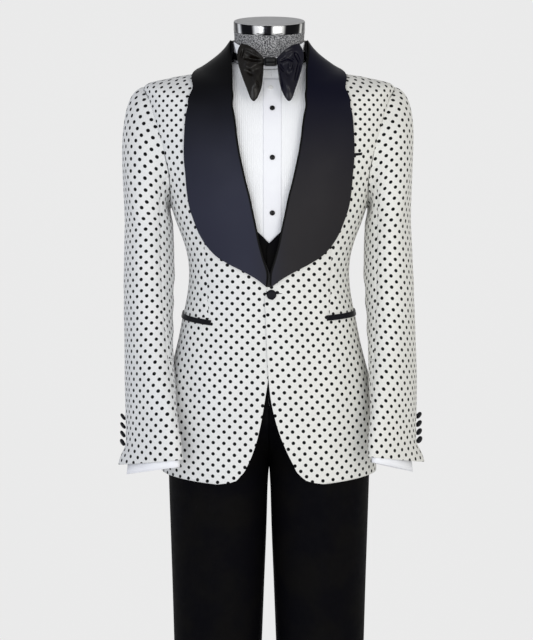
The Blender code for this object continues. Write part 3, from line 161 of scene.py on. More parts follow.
# rings over which the jacket thins to its stand, and over which the collar begins and ends
STAND_RINGS, COLLAR_FROM, COLLAR_TO = (1.570, 1.615), (1.530, 1.560), (1.610, 1.630)
NECK_RINGS = (1.605, 1.630)  # over these the collar comes closer to the jacket
VEST_INSET, VEST_WALL = 6.2 * MM, 1.5 * MM
SHIRT_INSET, SHIRT_WALL = 12.0 * MM, 1.0 * MM
TROUSER_WALL = 1.6 * MM


# ---------------------------------------------------------------- curves and the figure

def smooth(knots, values, at):
    """A cubic curve through the knots, read at the given places."""
    knots = np.asarray(knots, float)
    values = np.asarray(values, float)
    at = np.clip(np.asarray(at, float), knots[0], knots[-1])
    slope = np.gradient(values, knots)
    i = np.clip(np.searchsorted(knots, at, side="right") - 1, 0, len(knots) - 2)
    step = knots[i + 1] - knots[i]
    t = (at - knots[i]) / step
    start = (1 + 2 * t) * (1 - t) ** 2 * values[i] + t * (1 - t) ** 2 * step * slope[i]
    end = t * t * (3 - 2 * t) * values[i + 1] + t * t * (t - 1) * step * slope[i + 1]
    return start + end


def columns_at(table, at):
    """Smooth values of a table's further columns at places in its first one."""
    table = np.asarray(table)
    return [smooth(table[:, 0], column, at) for column in table.T[1:]]


def curve(table, at):
    """A cubic curve through a table of (place, value) rows."""
    return columns_at(table, at)[0]


def fade(value, low, high):
    """0 below low, 1 above high and a smooth change between them."""
    t = np.clip((np.asarray(value, float) - low) / (high - low), 0.0, 1.0)
    return t * t * (3 - 2 * t)


def unit(vectors):
    """The vectors scaled to length one."""
    length = np.linalg.norm(vectors, axis=-1, keepdims=True)
    return vectors / np.maximum(length, 1e-12)


def blend(first, second, share):
    """A mix of two values or sheets: all of the first at share 0, all of the second at 1."""
    return first * (1 - share) + second * share


def once_round(count):
    """Evenly spaced angles once round, in radians."""
    return np.linspace(0, 2 * math.pi, count, endpoint=False)


def spread(count, tight=0.004):
    """Shares from 0 to 1, with one more close to each end to keep the edge crisp."""
    inside = np.linspace(0, 1, count + 1)[1:-1]
    return np.concatenate(((0, tight), inside, (1 - tight, 1)))


def between(stops, step):
    """Levels through the stops, about one step apart."""
    levels = [np.linspace(a, b, max(2, int(math.ceil(abs(b - a) / step)) + 1))[:-1]
              for a, b in zip(stops[:-1], stops[1:])]
    return np.concatenate(levels + [np.array(stops[-1:])])


def ring_values(ring):
    """The figure's measures at a ring."""
    return columns_at(FIGURE, ring)


def figure(ring, turn):
    """Points of the jacket's outer face."""
    ring, turn = np.broadcast_arrays(np.asarray(ring, float), np.asarray(turn, float))
    x_side, y_side, z_side, y_front, z_front, y_back, z_back, full = ring_values(ring)
    across, along = np.sin(turn), np.cos(turn)
    in_front = along >= 0
    x = x_side * np.sign(across) * np.abs(across) ** (2 / full)
    reach = np.abs(along) ** (2 / full)
    y = y_side + (np.where(in_front, y_front, y_back) - y_side) * reach
    z = z_side + (np.where(in_front, z_front, z_back) - z_side) * along ** 2
    return np.stack((x, y, z), axis=-1)


def outward(ring, turn):
    """Unit normals of the figure."""
    step_ring, step_turn = 0.0008, 0.004
    low = np.clip(np.asarray(ring, float) - step_ring, HEM_RING, TOP_RING)
    high = np.clip(np.asarray(ring, float) + step_ring, HEM_RING, TOP_RING)
    up = figure(high, turn) - figure(low, turn)
    around = figure(ring, turn + step_turn) - figure(ring, turn - step_turn)
    return unit(np.cross(around, up))


def layer(ring, turn, inset):
    """Points a set depth under the jacket's outer face."""
    inset = np.asarray(inset, float)
    return figure(ring, turn) - outward(ring, turn) * inset[..., None]


def turn_at_y(ring, y):
    """The turn (right-hand sign left out) at which a ring has a given y."""
    y_side, y_front, y_back, full = (ring_values(ring)[k] for k in (1, 3, 5, 7))
    forward = y < y_side
    reach = (y - y_side) / (np.where(forward, y_front, y_back) - y_side)
    angle = np.arccos(np.clip(reach, 0.0, 1.0) ** (full / 2))
    return np.where(forward, angle, math.pi - angle)


def turn_at_x(ring, x):
    """The turn at which the front of a ring has a given x."""
    x_side, full = ring_values(ring)[0], ring_values(ring)[7]
    return np.sign(x) * np.arcsin(np.clip(np.abs(x) / x_side, 0, 1) ** (full / 2))


def front_place(x, z, rounds=40):
    """Ring and turn of the point on the front with a given x and z, closed in on by steps."""
    ring = np.array(z, float)
    for _ in range(rounds):
        turn = turn_at_x(ring, x)
        ring = np.clip(ring + 0.8 * (z - figure(ring, turn)[..., 2]), HEM_RING, TOP_RING)
    return ring, turn_at_x(ring, x)


def mirrored(points):
    """The same points on the other side of the figure."""
    return points * np.array((-1.0, 1.0, 1.0))


def for_side(side, *sheets):
    """Sheets made for the left side, mirrored if the piece is on the right one."""
    return sheets if side == "left" else [mirrored(sheet) for sheet in sheets]


def panel(rings, start, end, shares):
    """Ring and turn at each point of a panel between two edges, row by row."""
    turn = blend(start[:, None], end[:, None], shares[None, :])
    return rings[:, None] + 0 * turn, turn


def two_sheets(ring, turn, inset, thick, side="left"):
    """Outer and inner sheet of cloth a set depth under the jacket's outer face."""
    return for_side(side, layer(ring, turn, inset), layer(ring, turn, inset + thick))


def sheet_normals(grid, closed=False):
    """Unit normals of a sheet of points, rows by columns."""
    up = np.gradient(grid, axis=0)
    if closed:
        around = np.roll(grid, -1, axis=1) - np.roll(grid, 1, axis=1)
    else:
        around = np.gradient(grid, axis=1)
    return unit(np.cross(around, up))


def lengths(grid, axis):
    """Running length along the rows (axis 0) or columns (axis 1) of a sheet."""
    steps = np.linalg.norm(np.diff(grid, axis=axis), axis=-1)
    first = np.zeros_like(np.take(steps, [0], axis=axis))
    return np.concatenate((first, np.cumsum(steps, axis=axis)), axis=axis)


def own_map(grid):
    """A cloth map of the sheet's own lengths."""
    return np.stack((lengths(grid, 1), lengths(grid, 0)), axis=-1)


# ---------------------------------------------------------------- folds in cloth

TROUGH_AT, TROUGH_DEPTH = 1.7, 0.45  # widths from the ridge, and share of its height
RUN_IN, RUN_OUT = (-0.15, 0.35), (0.65, 1.15)  # shares of its length where a ridge begins, ends
UNREST_WAVES, WAVE_TURN = 5, 2.399  # each wave is turned from the last by the golden angle


def folds(u, v, table):
    """Soft ridges (and the troughs beside them) from (u0, v0) to (u1, v1)."""
    total = np.zeros(np.broadcast(u, v).shape)
    for u0, v0, u1, v1, width, height in table:
        du, dv = u1 - u0, v1 - v0
        along = ((u - u0) * du + (v - v0) * dv) / (du * du + dv * dv)
        off = ((u - u0) * dv - (v - v0) * du) / math.hypot(du, dv)
        ends = fade(along, *RUN_IN) * (1 - fade(along, *RUN_OUT))
        ridge = np.exp(-(off / width) ** 2)
        trough = np.exp(-((off - TROUGH_AT * width) / width) ** 2)
        total += height * ends * (ridge - TROUGH_DEPTH * trough)
    return total


def unrest(u, v, height, size, seed):
    """Low, uneven swells that keep a large panel from looking stamped."""
    total = np.zeros(np.broadcast(u, v).shape)
    for k in range(1, UNREST_WAVES + 1):
        angle = seed * 1.7 + k * WAVE_TURN
        wave = 2 * math.pi * (0.6 + 0.31 * k) / size
        total += np.sin(wave * (u * math.cos(angle) + v * math.sin(angle)) + seed * k) / k
    return height * total * 0.5


# ---------------------------------------------------------------- meshes


def new_object(name, points, quads, materials, uv, kinds=None, beyond=None):
    """A smooth piece of quads in place of the node of that name; its faces look outwards.

    beyond is a second cloth map and the faces that take it, past a seam in the cloth.
    """
    centre = points - points.mean(axis=0)
    a, b, c, d = (centre[quads[:, k]] for k in range(4))
    volume = np.sum(a * np.cross(b, c)) + np.sum(a * np.cross(c, d))
    if volume < 0:
        quads = quads[:, ::-1]
    mesh = bpy.data.meshes.new(name)
    mesh.from_pydata(points.tolist(), [], quads.tolist())
    mesh.shade_smooth()
    index = np.zeros(len(mesh.loops), int)
    mesh.loops.foreach_get("vertex_index", index)
    places = uv[index]
    if beyond is not None:
        other, takes = beyond
        places = np.where(np.repeat(takes, 4)[:, None], other[index], places)
    mesh.uv_layers.new(name="cloth").data.foreach_set("uv", places.ravel())
    for material in materials:
        mesh.materials.append(material)
    if kinds is not None:
        mesh.polygons.foreach_set("material_index", kinds)
    made = bpy.data.objects.new(name, mesh)
    LOOKS.objects.link(made)
    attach(made, "root")
    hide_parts(name)


# the fronts are faced with satin: height, and the x that it reaches there
FACING = ((1.1590, 0.000), (1.1592, 0.0045), (1.166, 0.007), (1.183, 0.012), (1.208, 0.018),
          (1.234, 0.026), (1.320, 0.045), (1.435, 0.066), (1.500, 0.072), (1.700, 0.072))
FACED_ABOVE = 1.585  # and so is the neck's top edge

# the rows and columns at a sheet's edges, and the ones beside them
EDGES = {"first_column": (np.s_[:, 0], np.s_[:, 1]),
         "last_column": (np.s_[:, -1], np.s_[:, -2]),
         "first_row": (0, 1), "last_row": (-1, -2)}
SIDE_EDGES = ("first_column", "last_column")
CAP_SHARES = (0.995, 0.9, 0.5, 0.001)  # a solid's end is drawn in by these rings


def faced(points):
    """Whether places on the jacket lie under the turned collar."""
    x, y, z = points.T
    reach = np.interp(z, *np.transpose(FACING))
    return ((y < 0) & (np.abs(x) < reach)) | (z > FACED_ABOVE)


def cells(rows, columns, closed):
    """Point numbers at the corners of each cell of a sheet."""
    index = np.arange(rows * columns).reshape(rows, columns)
    right = np.roll(index, -1, axis=1)
    if not closed:
        index, right = index[:, :-1], right[:, :-1]
    return np.stack((index[:-1], right[:-1], right[1:], index[1:]), axis=-1).reshape(-1, 4)


def border_loops(rows, columns, closed):
    """Rows and columns of the points round each free edge of a sheet."""
    top, last = rows - 1, columns - 1
    if closed:
        loops = [[(i, j) for j in range(columns)] for i in (0, top)]
    else:
        loops = [[(0, j) for j in range(last)] + [(i, last) for i in range(top)]
                 + [(top, j) for j in range(last, 0, -1)] + [(i, 0) for i in range(top, 0, -1)]]
    return [np.array(loop).T for loop in loops]


def rim(outer, inner, i, j, closed):
    """Points midway between two sheets along an edge, just outside of it."""
    rows, columns = outer.shape[:2]
    near_i = np.clip(i, 1, rows - 2)
    near_j = j if closed else np.clip(j, 1, columns - 2)
    thick = np.linalg.norm(outer[i, j] - inner[i, j], axis=-1, keepdims=True)
    away = unit(outer[i, j] - outer[near_i, near_j])
    return (outer[i, j] + inner[i, j]) / 2 + away * np.minimum(0.3 * thick, SEAM * 0.5)


def wall(name, slot, outer, inner, material, uv=None, closed=False, gaps=(), lining=None,
         beyond=None):
    """Cloth between two sheets, with a rounded edge all round; a lining is its inner face."""
    outer, inner = outer.copy(), inner.copy()
    for grid in (outer, inner):
        for here, beside in (EDGES[edge] for edge in gaps):
            grid[here] += 0.9 * SEAM * unit(grid[beside] - grid[here])
    rows, columns = outer.shape[:2]
    uv = own_map(outer) if uv is None else uv
    count = rows * columns
    face = cells(rows, columns, closed)
    quads = [face, face[:, ::-1] + count]
    points = [outer.reshape(-1, 3), inner.reshape(-1, 3)]
    uvs = [uv.reshape(-1, 2)] * 2
    made = 2 * count
    for i, j in border_loops(rows, columns, closed):
        points.append(rim(outer, inner, i, j, closed))
        uvs.append(uv[i, j])
        edge_out, size = i * columns + j, len(i)
        edge_in, middle = edge_out + count, made + np.arange(size)
        made += size
        for first, second in ((edge_out, middle), (middle, edge_in)):
            strip = np.stack((np.roll(first, -1), first, second, np.roll(second, -1)), axis=-1)
            quads.append(strip[:, ::-1] if closed and i[0] != 0 else strip)
    points, faces = np.concatenate(points), np.concatenate(quads)
    if lining is None:
        new_object(name, points, faces, (material,), np.concatenate(uvs))
        return
    kinds = faced(points[faces].mean(axis=1)).astype(int)
    kinds[len(face):2 * len(face)] = 1
    if beyond is not None:
        other, takes = beyond[0].reshape(-1, 2), beyond[1].ravel()
        on_rim = np.zeros(len(faces) - 2 * len(face), bool)
        beyond = (np.concatenate([other, other] + uvs[2:]),
                  np.concatenate((takes, takes, on_rim)))
    new_object(name, points, faces, (material, lining), np.concatenate(uvs), kinds, beyond)


def revolve(name, rings, material):
    """A solid of quads through closed rings; each end is drawn in to its centre."""
    rings = np.asarray(rings, float)
    low, high = ([ring.mean(axis=0) + (ring - ring.mean(axis=0)) * share for share in CAP_SHARES]
                 for ring in (rings[0], rings[-1]))
    rings = np.concatenate((low[::-1], rings, high))
    new_object(name, rings.reshape(-1, 3), cells(*rings.shape[:2], True), (material,),
               own_map(rings).reshape(-1, 2))


# ---------------------------------------------------------------- jacket

BODY_STOPS = (0.825, 0.829, 0.840, 1.4975, 1.585, 1.630)
CELL, COARSE_CELL = 4.5 * MM, 8 * MM  # grid step of the jacket, and of what it covers
# the waist dart runs down to the pocket: ring, x
DART_LINE = {"left": ((0.825, 0.1000), (1.130, 0.1046), (1.225, 0.1078), (1.630, 0.1120)),
             "right": ((0.825, 0.0990), (1.130, 0.1049), (1.225, 0.1109), (1.630, 0.1150))}
DART_LOW = {"left": 1.1050, "right": 1.1020}
DART_LEAVES = (1.40, 1.52)  # over these rings its column leaves the line for the shoulder


def seam_turn(ring, holes, forward):
    """Turn of the edge that runs up the side seam, round the armhole and up the shoulder."""
    lowest, highest = holes[len(holes) // 2], holes[0]
    if ring <= lowest[1] + 1e-9:
        return float(turn_at_y(ring, lowest[2]))
    if ring >= highest[1] - 1e-9:
        return math.pi / 2
    half = holes[1:len(holes) // 2] if forward else holes[len(holes) // 2 + 1:]
    ends = sorted([(hole[1], hole[2]) for hole in half] + [lowest[1:], highest[1:]])
    return float(turn_at_y(ring, curve(ends, ring)))


def seam_turns(rings, holes, forward):
    """The seam's turn at each ring."""
    return np.array([seam_turn(ring, holes, forward) for ring in rings])


LAP_WIDTH = (0.030, 0.070)  # the lift fades out over these distances from the middle
LAP_FOOT, LAP_HEAD = (0.900, 1.000), (1.200, 1.300)  # and over these heights


def lap(points, out):
    """How far a front is moved out (or in) where the fronts lap, for each point."""
    near = 1 - fade(np.abs(points[..., 0]), *LAP_WIDTH)
    level = fade(points[..., 2], *LAP_FOOT) * (1 - fade(points[..., 2], *LAP_HEAD))
    return out * LAP_LIFT * near * level


def jacket_wall(ring):
    """The jacket's thickness, less where it stands up round the neck."""
    return JACKET_WALL + (STAND_WALL - JACKET_WALL) * fade(ring, *STAND_RINGS)


def under_collar(ring):
    """How far the jacket is drawn in where the collar lies on it."""
    return UNDER_COLLAR * (fade(ring, *COLLAR_FROM) - fade(ring, *COLLAR_TO))


def cloth_height(ring, z):
    """Height up the cloth of points on the figure, along the slope of a line down its front."""
    rings = np.linspace(HEM_RING, TOP_RING, 200)
    line_x = np.minimum(0.10, 0.9 * ring_values(rings)[0])
    line = figure(rings, turn_at_x(rings, line_x))
    run = lengths(line[:, None, 1:], 0)[:, 0]
    return np.interp(ring, rings, run) + 0.6 * (z - np.interp(ring, rings, line[:, 2]))


def dart_turn(side, rings, start, end):
    """Turn of the dart's column, which runs on to the hem and the shoulder."""
    on_line = turn_at_x(rings, curve(DART_LINE[side], rings))
    high = fade(rings, *DART_LEAVES)
    return on_line * (1 - high) + (0.45 * start + 0.55 * end) * high


EDGE_WIDTH = 14 * MM


def edge_ease(sheet):
    """0 at the free and sewn edges of a panel and 1 a little way inside."""
    across, up = lengths(sheet, 1), lengths(sheet, 0)
    near = np.minimum(across, across[:, -1:] - across)
    low = np.minimum(up, up[-1:, :] - up)
    return fade(near, 0.0, EDGE_WIDTH) * fade(low, 0.0, EDGE_WIDTH)


SEAM_REACH, SEAM_DIP = 2.2 * MM, 0.9 * MM


def seam_dip(sheet, first):
    """The shallow valley a seam pulls beside itself, at the last edge or at both."""
    across = lengths(sheet, 1)
    depth = np.zeros(across.shape)
    if first:
        depth += np.exp(-(across / SEAM_REACH) ** 2)
    depth += np.exp(-((across[:, -1:] - across) / SEAM_REACH) ** 2)
    return -SEAM_DIP * depth


def panel_swell(sheet, u, v, creases, height, size, seed, first=True):
    """How far a panel's creases, unrest and seams move it outwards."""
    return seam_dip(sheet, first) + edge_ease(sheet) * (
        folds(u, v, creases) + unrest(u, v, height, size, seed))


def shift_at(table, v):
    """How far the dots lie round and up the cloth from their place, at a height up it."""
    place, *shifts = np.transpose(table)
    return np.stack([np.interp(v, place, shift) for shift in shifts], axis=-1)


# cloth worked into the chest and shoulder: height up the front, length taken up below it
CHEST_EASE = ((0.00, 0.0), (0.25, 0.0042), (0.45, 0.0142), (0.60, 0.0267), (0.70, 0.0467))
ROW_SLOPE = 0.04  # rows of dots run down to the sides
LEAN_V, FRONT_LEAN = 0.35, {"left": 0.07, "right": 0.02}  # their columns lean outwards
UPPER_U, UPPER_SLOPE = 0.175, 0.14  # the rows' slope beside the dart, about this u
UPPER_V = (0.33, 0.43)  # which comes in over these heights up the cloth
SHOULDER_V, SHOULDER_LEAN = 0.64, 0.125  # the columns lean to the neck on the shoulder
FRONT_DOTS = {"left": np.array((-0.0060, -0.0025)), "right": np.array((0.0085, 0.0))}
# how the dots lie past the dart: height up the cloth, shift round it, shift up it
SIDE_DOTS = {
    "left": ((0.300, 0.0035, -0.0045), (0.345, 0.0067, -0.0024), (0.396, -0.0011, -0.0012),
             (0.442, -0.0032, -0.0029), (0.505, -0.0052, -0.0055), (0.596, -0.0069, -0.0058),
             (0.634, -0.0068, -0.0070)),
    "right": ((0.290, -0.0080, -0.0025), (0.380, -0.0080, -0.0021), (0.443, -0.0053, -0.0025),
              (0.508, -0.0066, -0.0049), (0.600, -0.0064, -0.0056), (0.635, -0.0069, -0.0069)),
}
# how the dart pulls the dots before it: height up the cloth, shift round it, shift up it
DART_PULL = ((0.290, 0.0000, 0.0010), (0.335, -0.0015, 0.0018), (0.360, -0.0037, 0.0024),
             (0.380, -0.0046, 0.0023), (0.450, -0.0060, 0.0024))
DART_REACH = 0.040
FRONT_CELLS, SIDE_CELLS = 32, 24  # grid cells of a front up to the dart, and past it
BACK_CELLS = 44
DART_COLUMN = FRONT_CELLS + 1
DART_DIP = 1.1 * MM
DART_HIGH = (1.25, 1.32)  # the dart's valley runs out over these heights
# heights up the cloth over which the dart begins and ends to pull the dots before it
PULL_FOOT, PULL_HEAD = (0.27, 0.29), (0.45, 0.50)
DART_END = (0.50, 0.58)  # under the collar the dots run whole again above these heights
FLIPPED = np.array((-1.0, 1.0))  # a cloth map for the right side
# soft creases: u and v of the two ends, width and height
FRONT_FOLDS = ((0.150, 0.300, 0.060, 0.345, 0.012, 0.0010),
               (0.155, 0.335, 0.075, 0.385, 0.014, 0.0009),
               (0.150, 0.270, 0.090, 0.235, 0.016, -0.0010),
               (0.120, 0.225, 0.105, 0.020, 0.020, 0.0012),
               (0.045, 0.210, 0.060, 0.015, 0.022, -0.0010),
               (0.185, 0.240, 0.180, 0.030, 0.016, 0.0014),
               (0.160, 0.560, 0.120, 0.470, 0.014, 0.0012))
BACK_FOLDS = ((-0.060, 0.330, -0.150, 0.300, 0.014, 0.0012),
              (-0.050, 0.370, -0.145, 0.350, 0.015, 0.0011),
              (-0.100, 0.225, -0.090, 0.020, 0.022, 0.0016),
              (-0.040, 0.210, -0.045, 0.015, 0.018, -0.0012),
              (-0.165, 0.590, -0.100, 0.500, 0.016, 0.0014),
              (-0.070, 0.640, -0.160, 0.625, 0.018, -0.0010))


def dart_swell(side, ring, face, u):
    """The valley along the waist dart, above the pocket."""
    seam = np.exp(-((u - u[:, DART_COLUMN:DART_COLUMN + 1]) / SEAM_REACH) ** 2)
    sewn = fade(face[..., 2], DART_LOW[side] - 0.004, DART_LOW[side])
    return DART_DIP * seam * sewn * edge_ease(face) * (1 - fade(ring, *DART_HIGH))


def front_cloth(side, face, u, v):
    """A front's cloth map before its dart and past it, and the cells that take the second."""
    u = u + FRONT_LEAN[side] * (np.clip(v, 0.0, LEAN_V) - LEAN_V / 2)
    u = u + SHOULDER_LEAN * np.clip(v - SHOULDER_V, 0, None)
    shift = shift_at(SIDE_DOTS[side], v)
    shift[..., 1] += UPPER_SLOPE * fade(v, *UPPER_V) * (u - UPPER_U)
    to_dart = face[:, DART_COLUMN:DART_COLUMN + 1, 0] - face[..., 0]
    before = np.clip(1 - to_dart / DART_REACH, 0, 1)
    before = before * (1 - fade(v, *PULL_HEAD)) * fade(v, *PULL_FOOT)
    pull = shift_at(DART_PULL, v) * before[..., None] + shift * fade(v, *DART_END)[..., None]
    v = v + np.interp(v, *np.transpose(CHEST_EASE)) - ROW_SLOPE * np.abs(u)
    uv = np.stack((u, v), axis=-1) + FRONT_DOTS[side]
    past = np.zeros((uv.shape[0] - 1, uv.shape[1] - 1), bool)
    past[:, DART_COLUMN:] = True
    past &= face[:-1, :-1, 2] > DART_LOW[side]
    return uv + pull, (uv + shift, past)


def build_jacket_front(side, out, edge, rings):
    """One front, from its free edge over the dart to the side seam and the armhole."""
    start = turn_at_x(rings, curve(edge, rings))
    end = seam_turns(rings, ARMHOLE, True)
    dart = dart_turn(side, rings, start, end)
    to_dart = np.concatenate((spread(FRONT_CELLS)[:-2], (1.0,)))
    turn = np.concatenate((panel(rings, start, dart, to_dart)[1],
                           panel(rings, dart, end, spread(SIDE_CELLS)[2:])[1]), axis=1)
    ring = rings[:, None] + 0 * turn
    face = figure(ring, turn)
    u = lengths(face, 1) + face[:, :1, 0]
    v = cloth_height(ring, face[..., 2])
    swell = panel_swell(face, u, v, FRONT_FOLDS, 0.5 * MM, 0.25, 3.0 + out, first=False)
    swell = swell - dart_swell(side, ring, face, u)
    uv, beyond = front_cloth(side, face, u, v)
    jacket_piece("jacket_front_" + side, side, ring, turn,
                 under_collar(ring) - lap(face, out) - swell, uv, ("last_column",), beyond)


def build_jacket_back(side, out, rings):
    """One back, from the side seam and the armhole to the centre back."""
    ring, turn = panel(rings, seam_turns(rings, ARMHOLE, False),
                       np.full(len(rings), math.pi), spread(BACK_CELLS))
    face = figure(ring, turn)
    u = lengths(face, 1) - lengths(face, 1)[:, -1:]
    v = cloth_height(ring, face[..., 2])
    swell = panel_swell(face, u, v, BACK_FOLDS, 0.6 * MM, 0.25, 7.0 + out)
    jacket_piece("jacket_back_" + side, side, ring, turn, under_collar(ring) - swell,
                 np.stack((u, v), axis=-1), SIDE_EDGES)


def build_jacket_body():
    """Two fronts that lap at the button, and two backs."""
    rings = between(BODY_STOPS, CELL)
    for (side, out), edge in zip(SIDES, (OVER_EDGE, UNDER_EDGE)):
        build_jacket_front(side, out, edge, rings)
        build_jacket_back(side, out, rings)


def jacket_piece(name, side, ring, turn, inset, uv, gaps, beyond=None):
    """One panel of the jacket, mirrored for the right side."""
    outer, inner = two_sheets(ring, turn, inset, jacket_wall(ring), side)
    if side == "right":
        uv = uv * FLIPPED
        beyond = beyond and (beyond[0] * FLIPPED, beyond[1])
    wall(name, "dotted_cloth", outer, inner, DOTTED, uv, gaps=gaps, lining=LINING,
         beyond=beyond)


def sleeve_sections(turns, levels, slim=0.0, short=0.0, ahead=0.0):
    """Rows of points round the left sleeve below its cap, or round a tube inside it."""
    z = np.asarray(levels, float)[:, None]
    x, y, long, thick, angle = columns_at(SLEEVE, z)
    angle = np.radians(angle)
    a = (long - slim - short) * np.sin(turns) + ahead
    b = (thick - slim) * np.cos(turns)
    hem = 1 - fade(z, *HEM_LEVELS)
    return np.stack((x - a * np.cos(angle) + b * np.sin(angle),
                     y - a * np.sin(angle) - b * np.cos(angle),
                     z + CUFF_SLOPE * hem * np.sin(turns)), axis=-1)


CAP_DROP, CAP_DROP_MORE = 0.155, 0.125  # how steeply a cap arrives below, and more outside


def sleeve_cap(start, turns, top, steps, drop=1.0, push=0.0):
    """Rows of points from the armhole down to the first ring of the sleeve."""
    degrees = np.degrees(turns) % 360
    leave = np.stack(columns_at(SLEEVE_START, degrees), axis=-1)
    leave[:, 0] += push * (1 - np.cos(turns)) / 2
    arrive = np.zeros_like(leave)
    arrive[:, 2] = -(CAP_DROP + CAP_DROP_MORE * np.cos(turns)) * drop
    t = np.asarray(steps, float)[:, None, None]
    return ((1 + 2 * t) * (1 - t) ** 2 * start + t * (1 - t) ** 2 * leave
            + t * t * (3 - 2 * t) * top + t * t * (t - 1) * arrive)


def on_body(normal, body_normal):
    """A sleeve's normals, which are the body's along the armhole where the two agree."""
    agree = np.sum(normal[0] * body_normal, axis=-1)
    normal[0] = np.where(agree[:, None] > 0.2, body_normal, normal[0])
    return normal


def swing(points, side, weight=1.0):
    """The sleeve leant towards the wearer's left, and mirrored for the right arm."""
    points = points.copy()
    if side == "left":
        points[..., 2] += LEFT_HIGHER * (1 - fade(points[..., 2], *LEFT_LEVELS))
    inner, outer = columns_at(SLEEVE_LEAN, points[..., 2])
    share = np.clip((points[..., 0] - LEAN_FROM) / LEAN_OVER, 0, 1)
    lean = (inner + (outer - inner) * share) * np.reshape(weight, (-1, 1))
    points[..., 0] += lean * (1 if side == "left" else -1)
    return for_side(side, points)[0]


def hole_rows(holes, degrees):
    """Ring and turn on an armhole for places round the sleeve."""
    degrees = np.asarray(degrees, float) % 360
    first, second, last = holes[0], holes[1], holes[-1]
    table = [(last[0] - 360, last[1])] + [hole[:2] for hole in holes]
    ring = curve(table + [(360.0, first[1]), (360.0 + second[0], second[1])], degrees)
    turn = np.array([seam_turn(r, holes, d <= 180) for r, d in zip(ring, degrees)])
    return ring, turn


CAP_STEPS = np.concatenate(((0.0, 0.012), np.linspace(0.03, 1.0, 42)))
SLEEVE_LEVELS = np.concatenate((between((1.2575, 0.864), CELL), (0.860, 0.858)))
# soft creases of the sleeve, in the same terms; u runs round from the plumb line
SLEEVE_FOLDS = ((0.020, 0.300, 0.090, 0.345, 0.012, 0.0015),
                (0.015, 0.262, 0.085, 0.290, 0.012, 0.0014),
                (0.030, 0.225, 0.100, 0.240, 0.013, 0.0011),
                (-0.080, 0.330, -0.020, 0.290, 0.013, 0.0012),
                (-0.030, 0.560, 0.010, 0.380, 0.016, 0.0014),
                (0.050, 0.540, 0.070, 0.400, 0.014, -0.0012),
                (-0.040, 0.160, -0.030, 0.030, 0.014, 0.0011),
                (0.040, 0.180, 0.055, 0.040, 0.015, 0.0012))


def plumb_offset(grid, u, place):
    """u of the front point of each row that hangs in the plane x = place."""
    offsets = []
    for row, run in zip(grid, u):
        front = row[:, 1] < row[:, 1].mean()
        x, run = row[front, 0], run[front]
        order = np.argsort(x)
        offsets.append(np.interp(place, x[order], run[order]))
    return np.array(offsets)[:, None]


# each point of a sheet and its neighbour along, up and across both ways
NEIGHBOURS = ((np.s_[:, :-1], np.s_[:, 1:]), (np.s_[:-1], np.s_[1:]),
              (np.s_[:-1, :-1], np.s_[1:, 1:]), (np.s_[:-1, 1:], np.s_[1:, :-1]))
OVERSHOOT = 1.6  # a step past the mean of what the neighbours ask for settles sooner


def relax(grid, uv, free, rounds):
    """Flat places for the first rows of a sheet that keep its own lengths as well as they can."""
    uv = uv.copy()
    wanted = [np.linalg.norm(grid[a] - grid[b], axis=-1) for a, b in NEIGHBOURS]
    for _ in range(rounds):
        total, share = np.zeros_like(uv), np.zeros(uv.shape[:2])
        for (a, b), length in zip(NEIGHBOURS, wanted):
            gap = uv[a] - uv[b]
            now = np.linalg.norm(gap, axis=-1)
            push = 0.5 * gap * ((length - now) / np.maximum(now, 1e-9))[..., None]
            total[a] += push
            total[b] -= push
            share[a] += 1
            share[b] += 1
        uv[:free] += (OVERSHOOT * total / share[..., None])[:free]
    return uv


FLATTEN_PASSES = ((6, 900), (3, 400), (1, 80))  # every how many rows, and how many rounds


def flatten(grid, uv, free):
    """relax on a coarse sheet first, and then on finer ones."""
    rows, columns = np.arange(grid.shape[0]), np.arange(grid.shape[1])
    for step, rounds in FLATTEN_PASSES:
        coarse = uv[::step, ::step]
        moved = relax(grid[::step, ::step], coarse, -(-free // step), rounds) - coarse
        for k in (0, 1):
            wide = np.array([np.interp(columns, columns[::step], row) for row in moved[..., k]])
            uv[..., k] += np.array([np.interp(rows, rows[::step], column)
                                    for column in wide.T]).T * (rows < free)[:, None]
    return uv


SLEEVE_PLUMB = {"upper": 0.2185, "under": 0.1800}  # the grain hangs in these planes
# how the dots lie on each sleeve: height up the cloth, shift round it, shift up it
SLEEVE_DOTS = {
    "left": ((0.00, -0.0010, -0.0075), (0.15, -0.0030, -0.0115), (0.25, -0.0075, -0.0090),
             (0.36, -0.0125, -0.0055), (0.50, -0.0125, -0.0045), (0.66, -0.0125, -0.0030)),
    "right": ((0.00, 0.0070, 0.0020), (0.20, 0.0100, 0.0020), (0.30, 0.0100, 0.0080),
              (0.43, 0.0095, 0.0125), (0.52, 0.0120, 0.0060), (0.66, 0.0100, -0.0060)),
}
SLEEVE_ROW_SLOPE = 0.15  # rows of dots run down to the outside of the sleeve
FOREARM_V, FOREARM_LEAN = 0.27, 0.05  # below this its columns of dots lean outwards
# the sleeve's pieces: name, armhole turns where each starts and ends, cells round it
SLEEVE_PARTS = (("upper", ARMHOLE[BACK_SEAM][0], ARMHOLE[FRONT_SEAM][0] + 360, 56),
                ("under", ARMHOLE[FRONT_SEAM][0], ARMHOLE[BACK_SEAM][0], 40))


def sleeve_cloth(side, u, v):
    """A sleeve's cloth map, from the lengths round it and up it."""
    lean = FOREARM_LEAN * np.clip(FOREARM_V - v, 0, None)
    cloth = np.stack((u + lean, v + SLEEVE_ROW_SLOPE * u), axis=-1)
    return (cloth if side == "left" else cloth * FLIPPED) + shift_at(SLEEVE_DOTS[side], v)


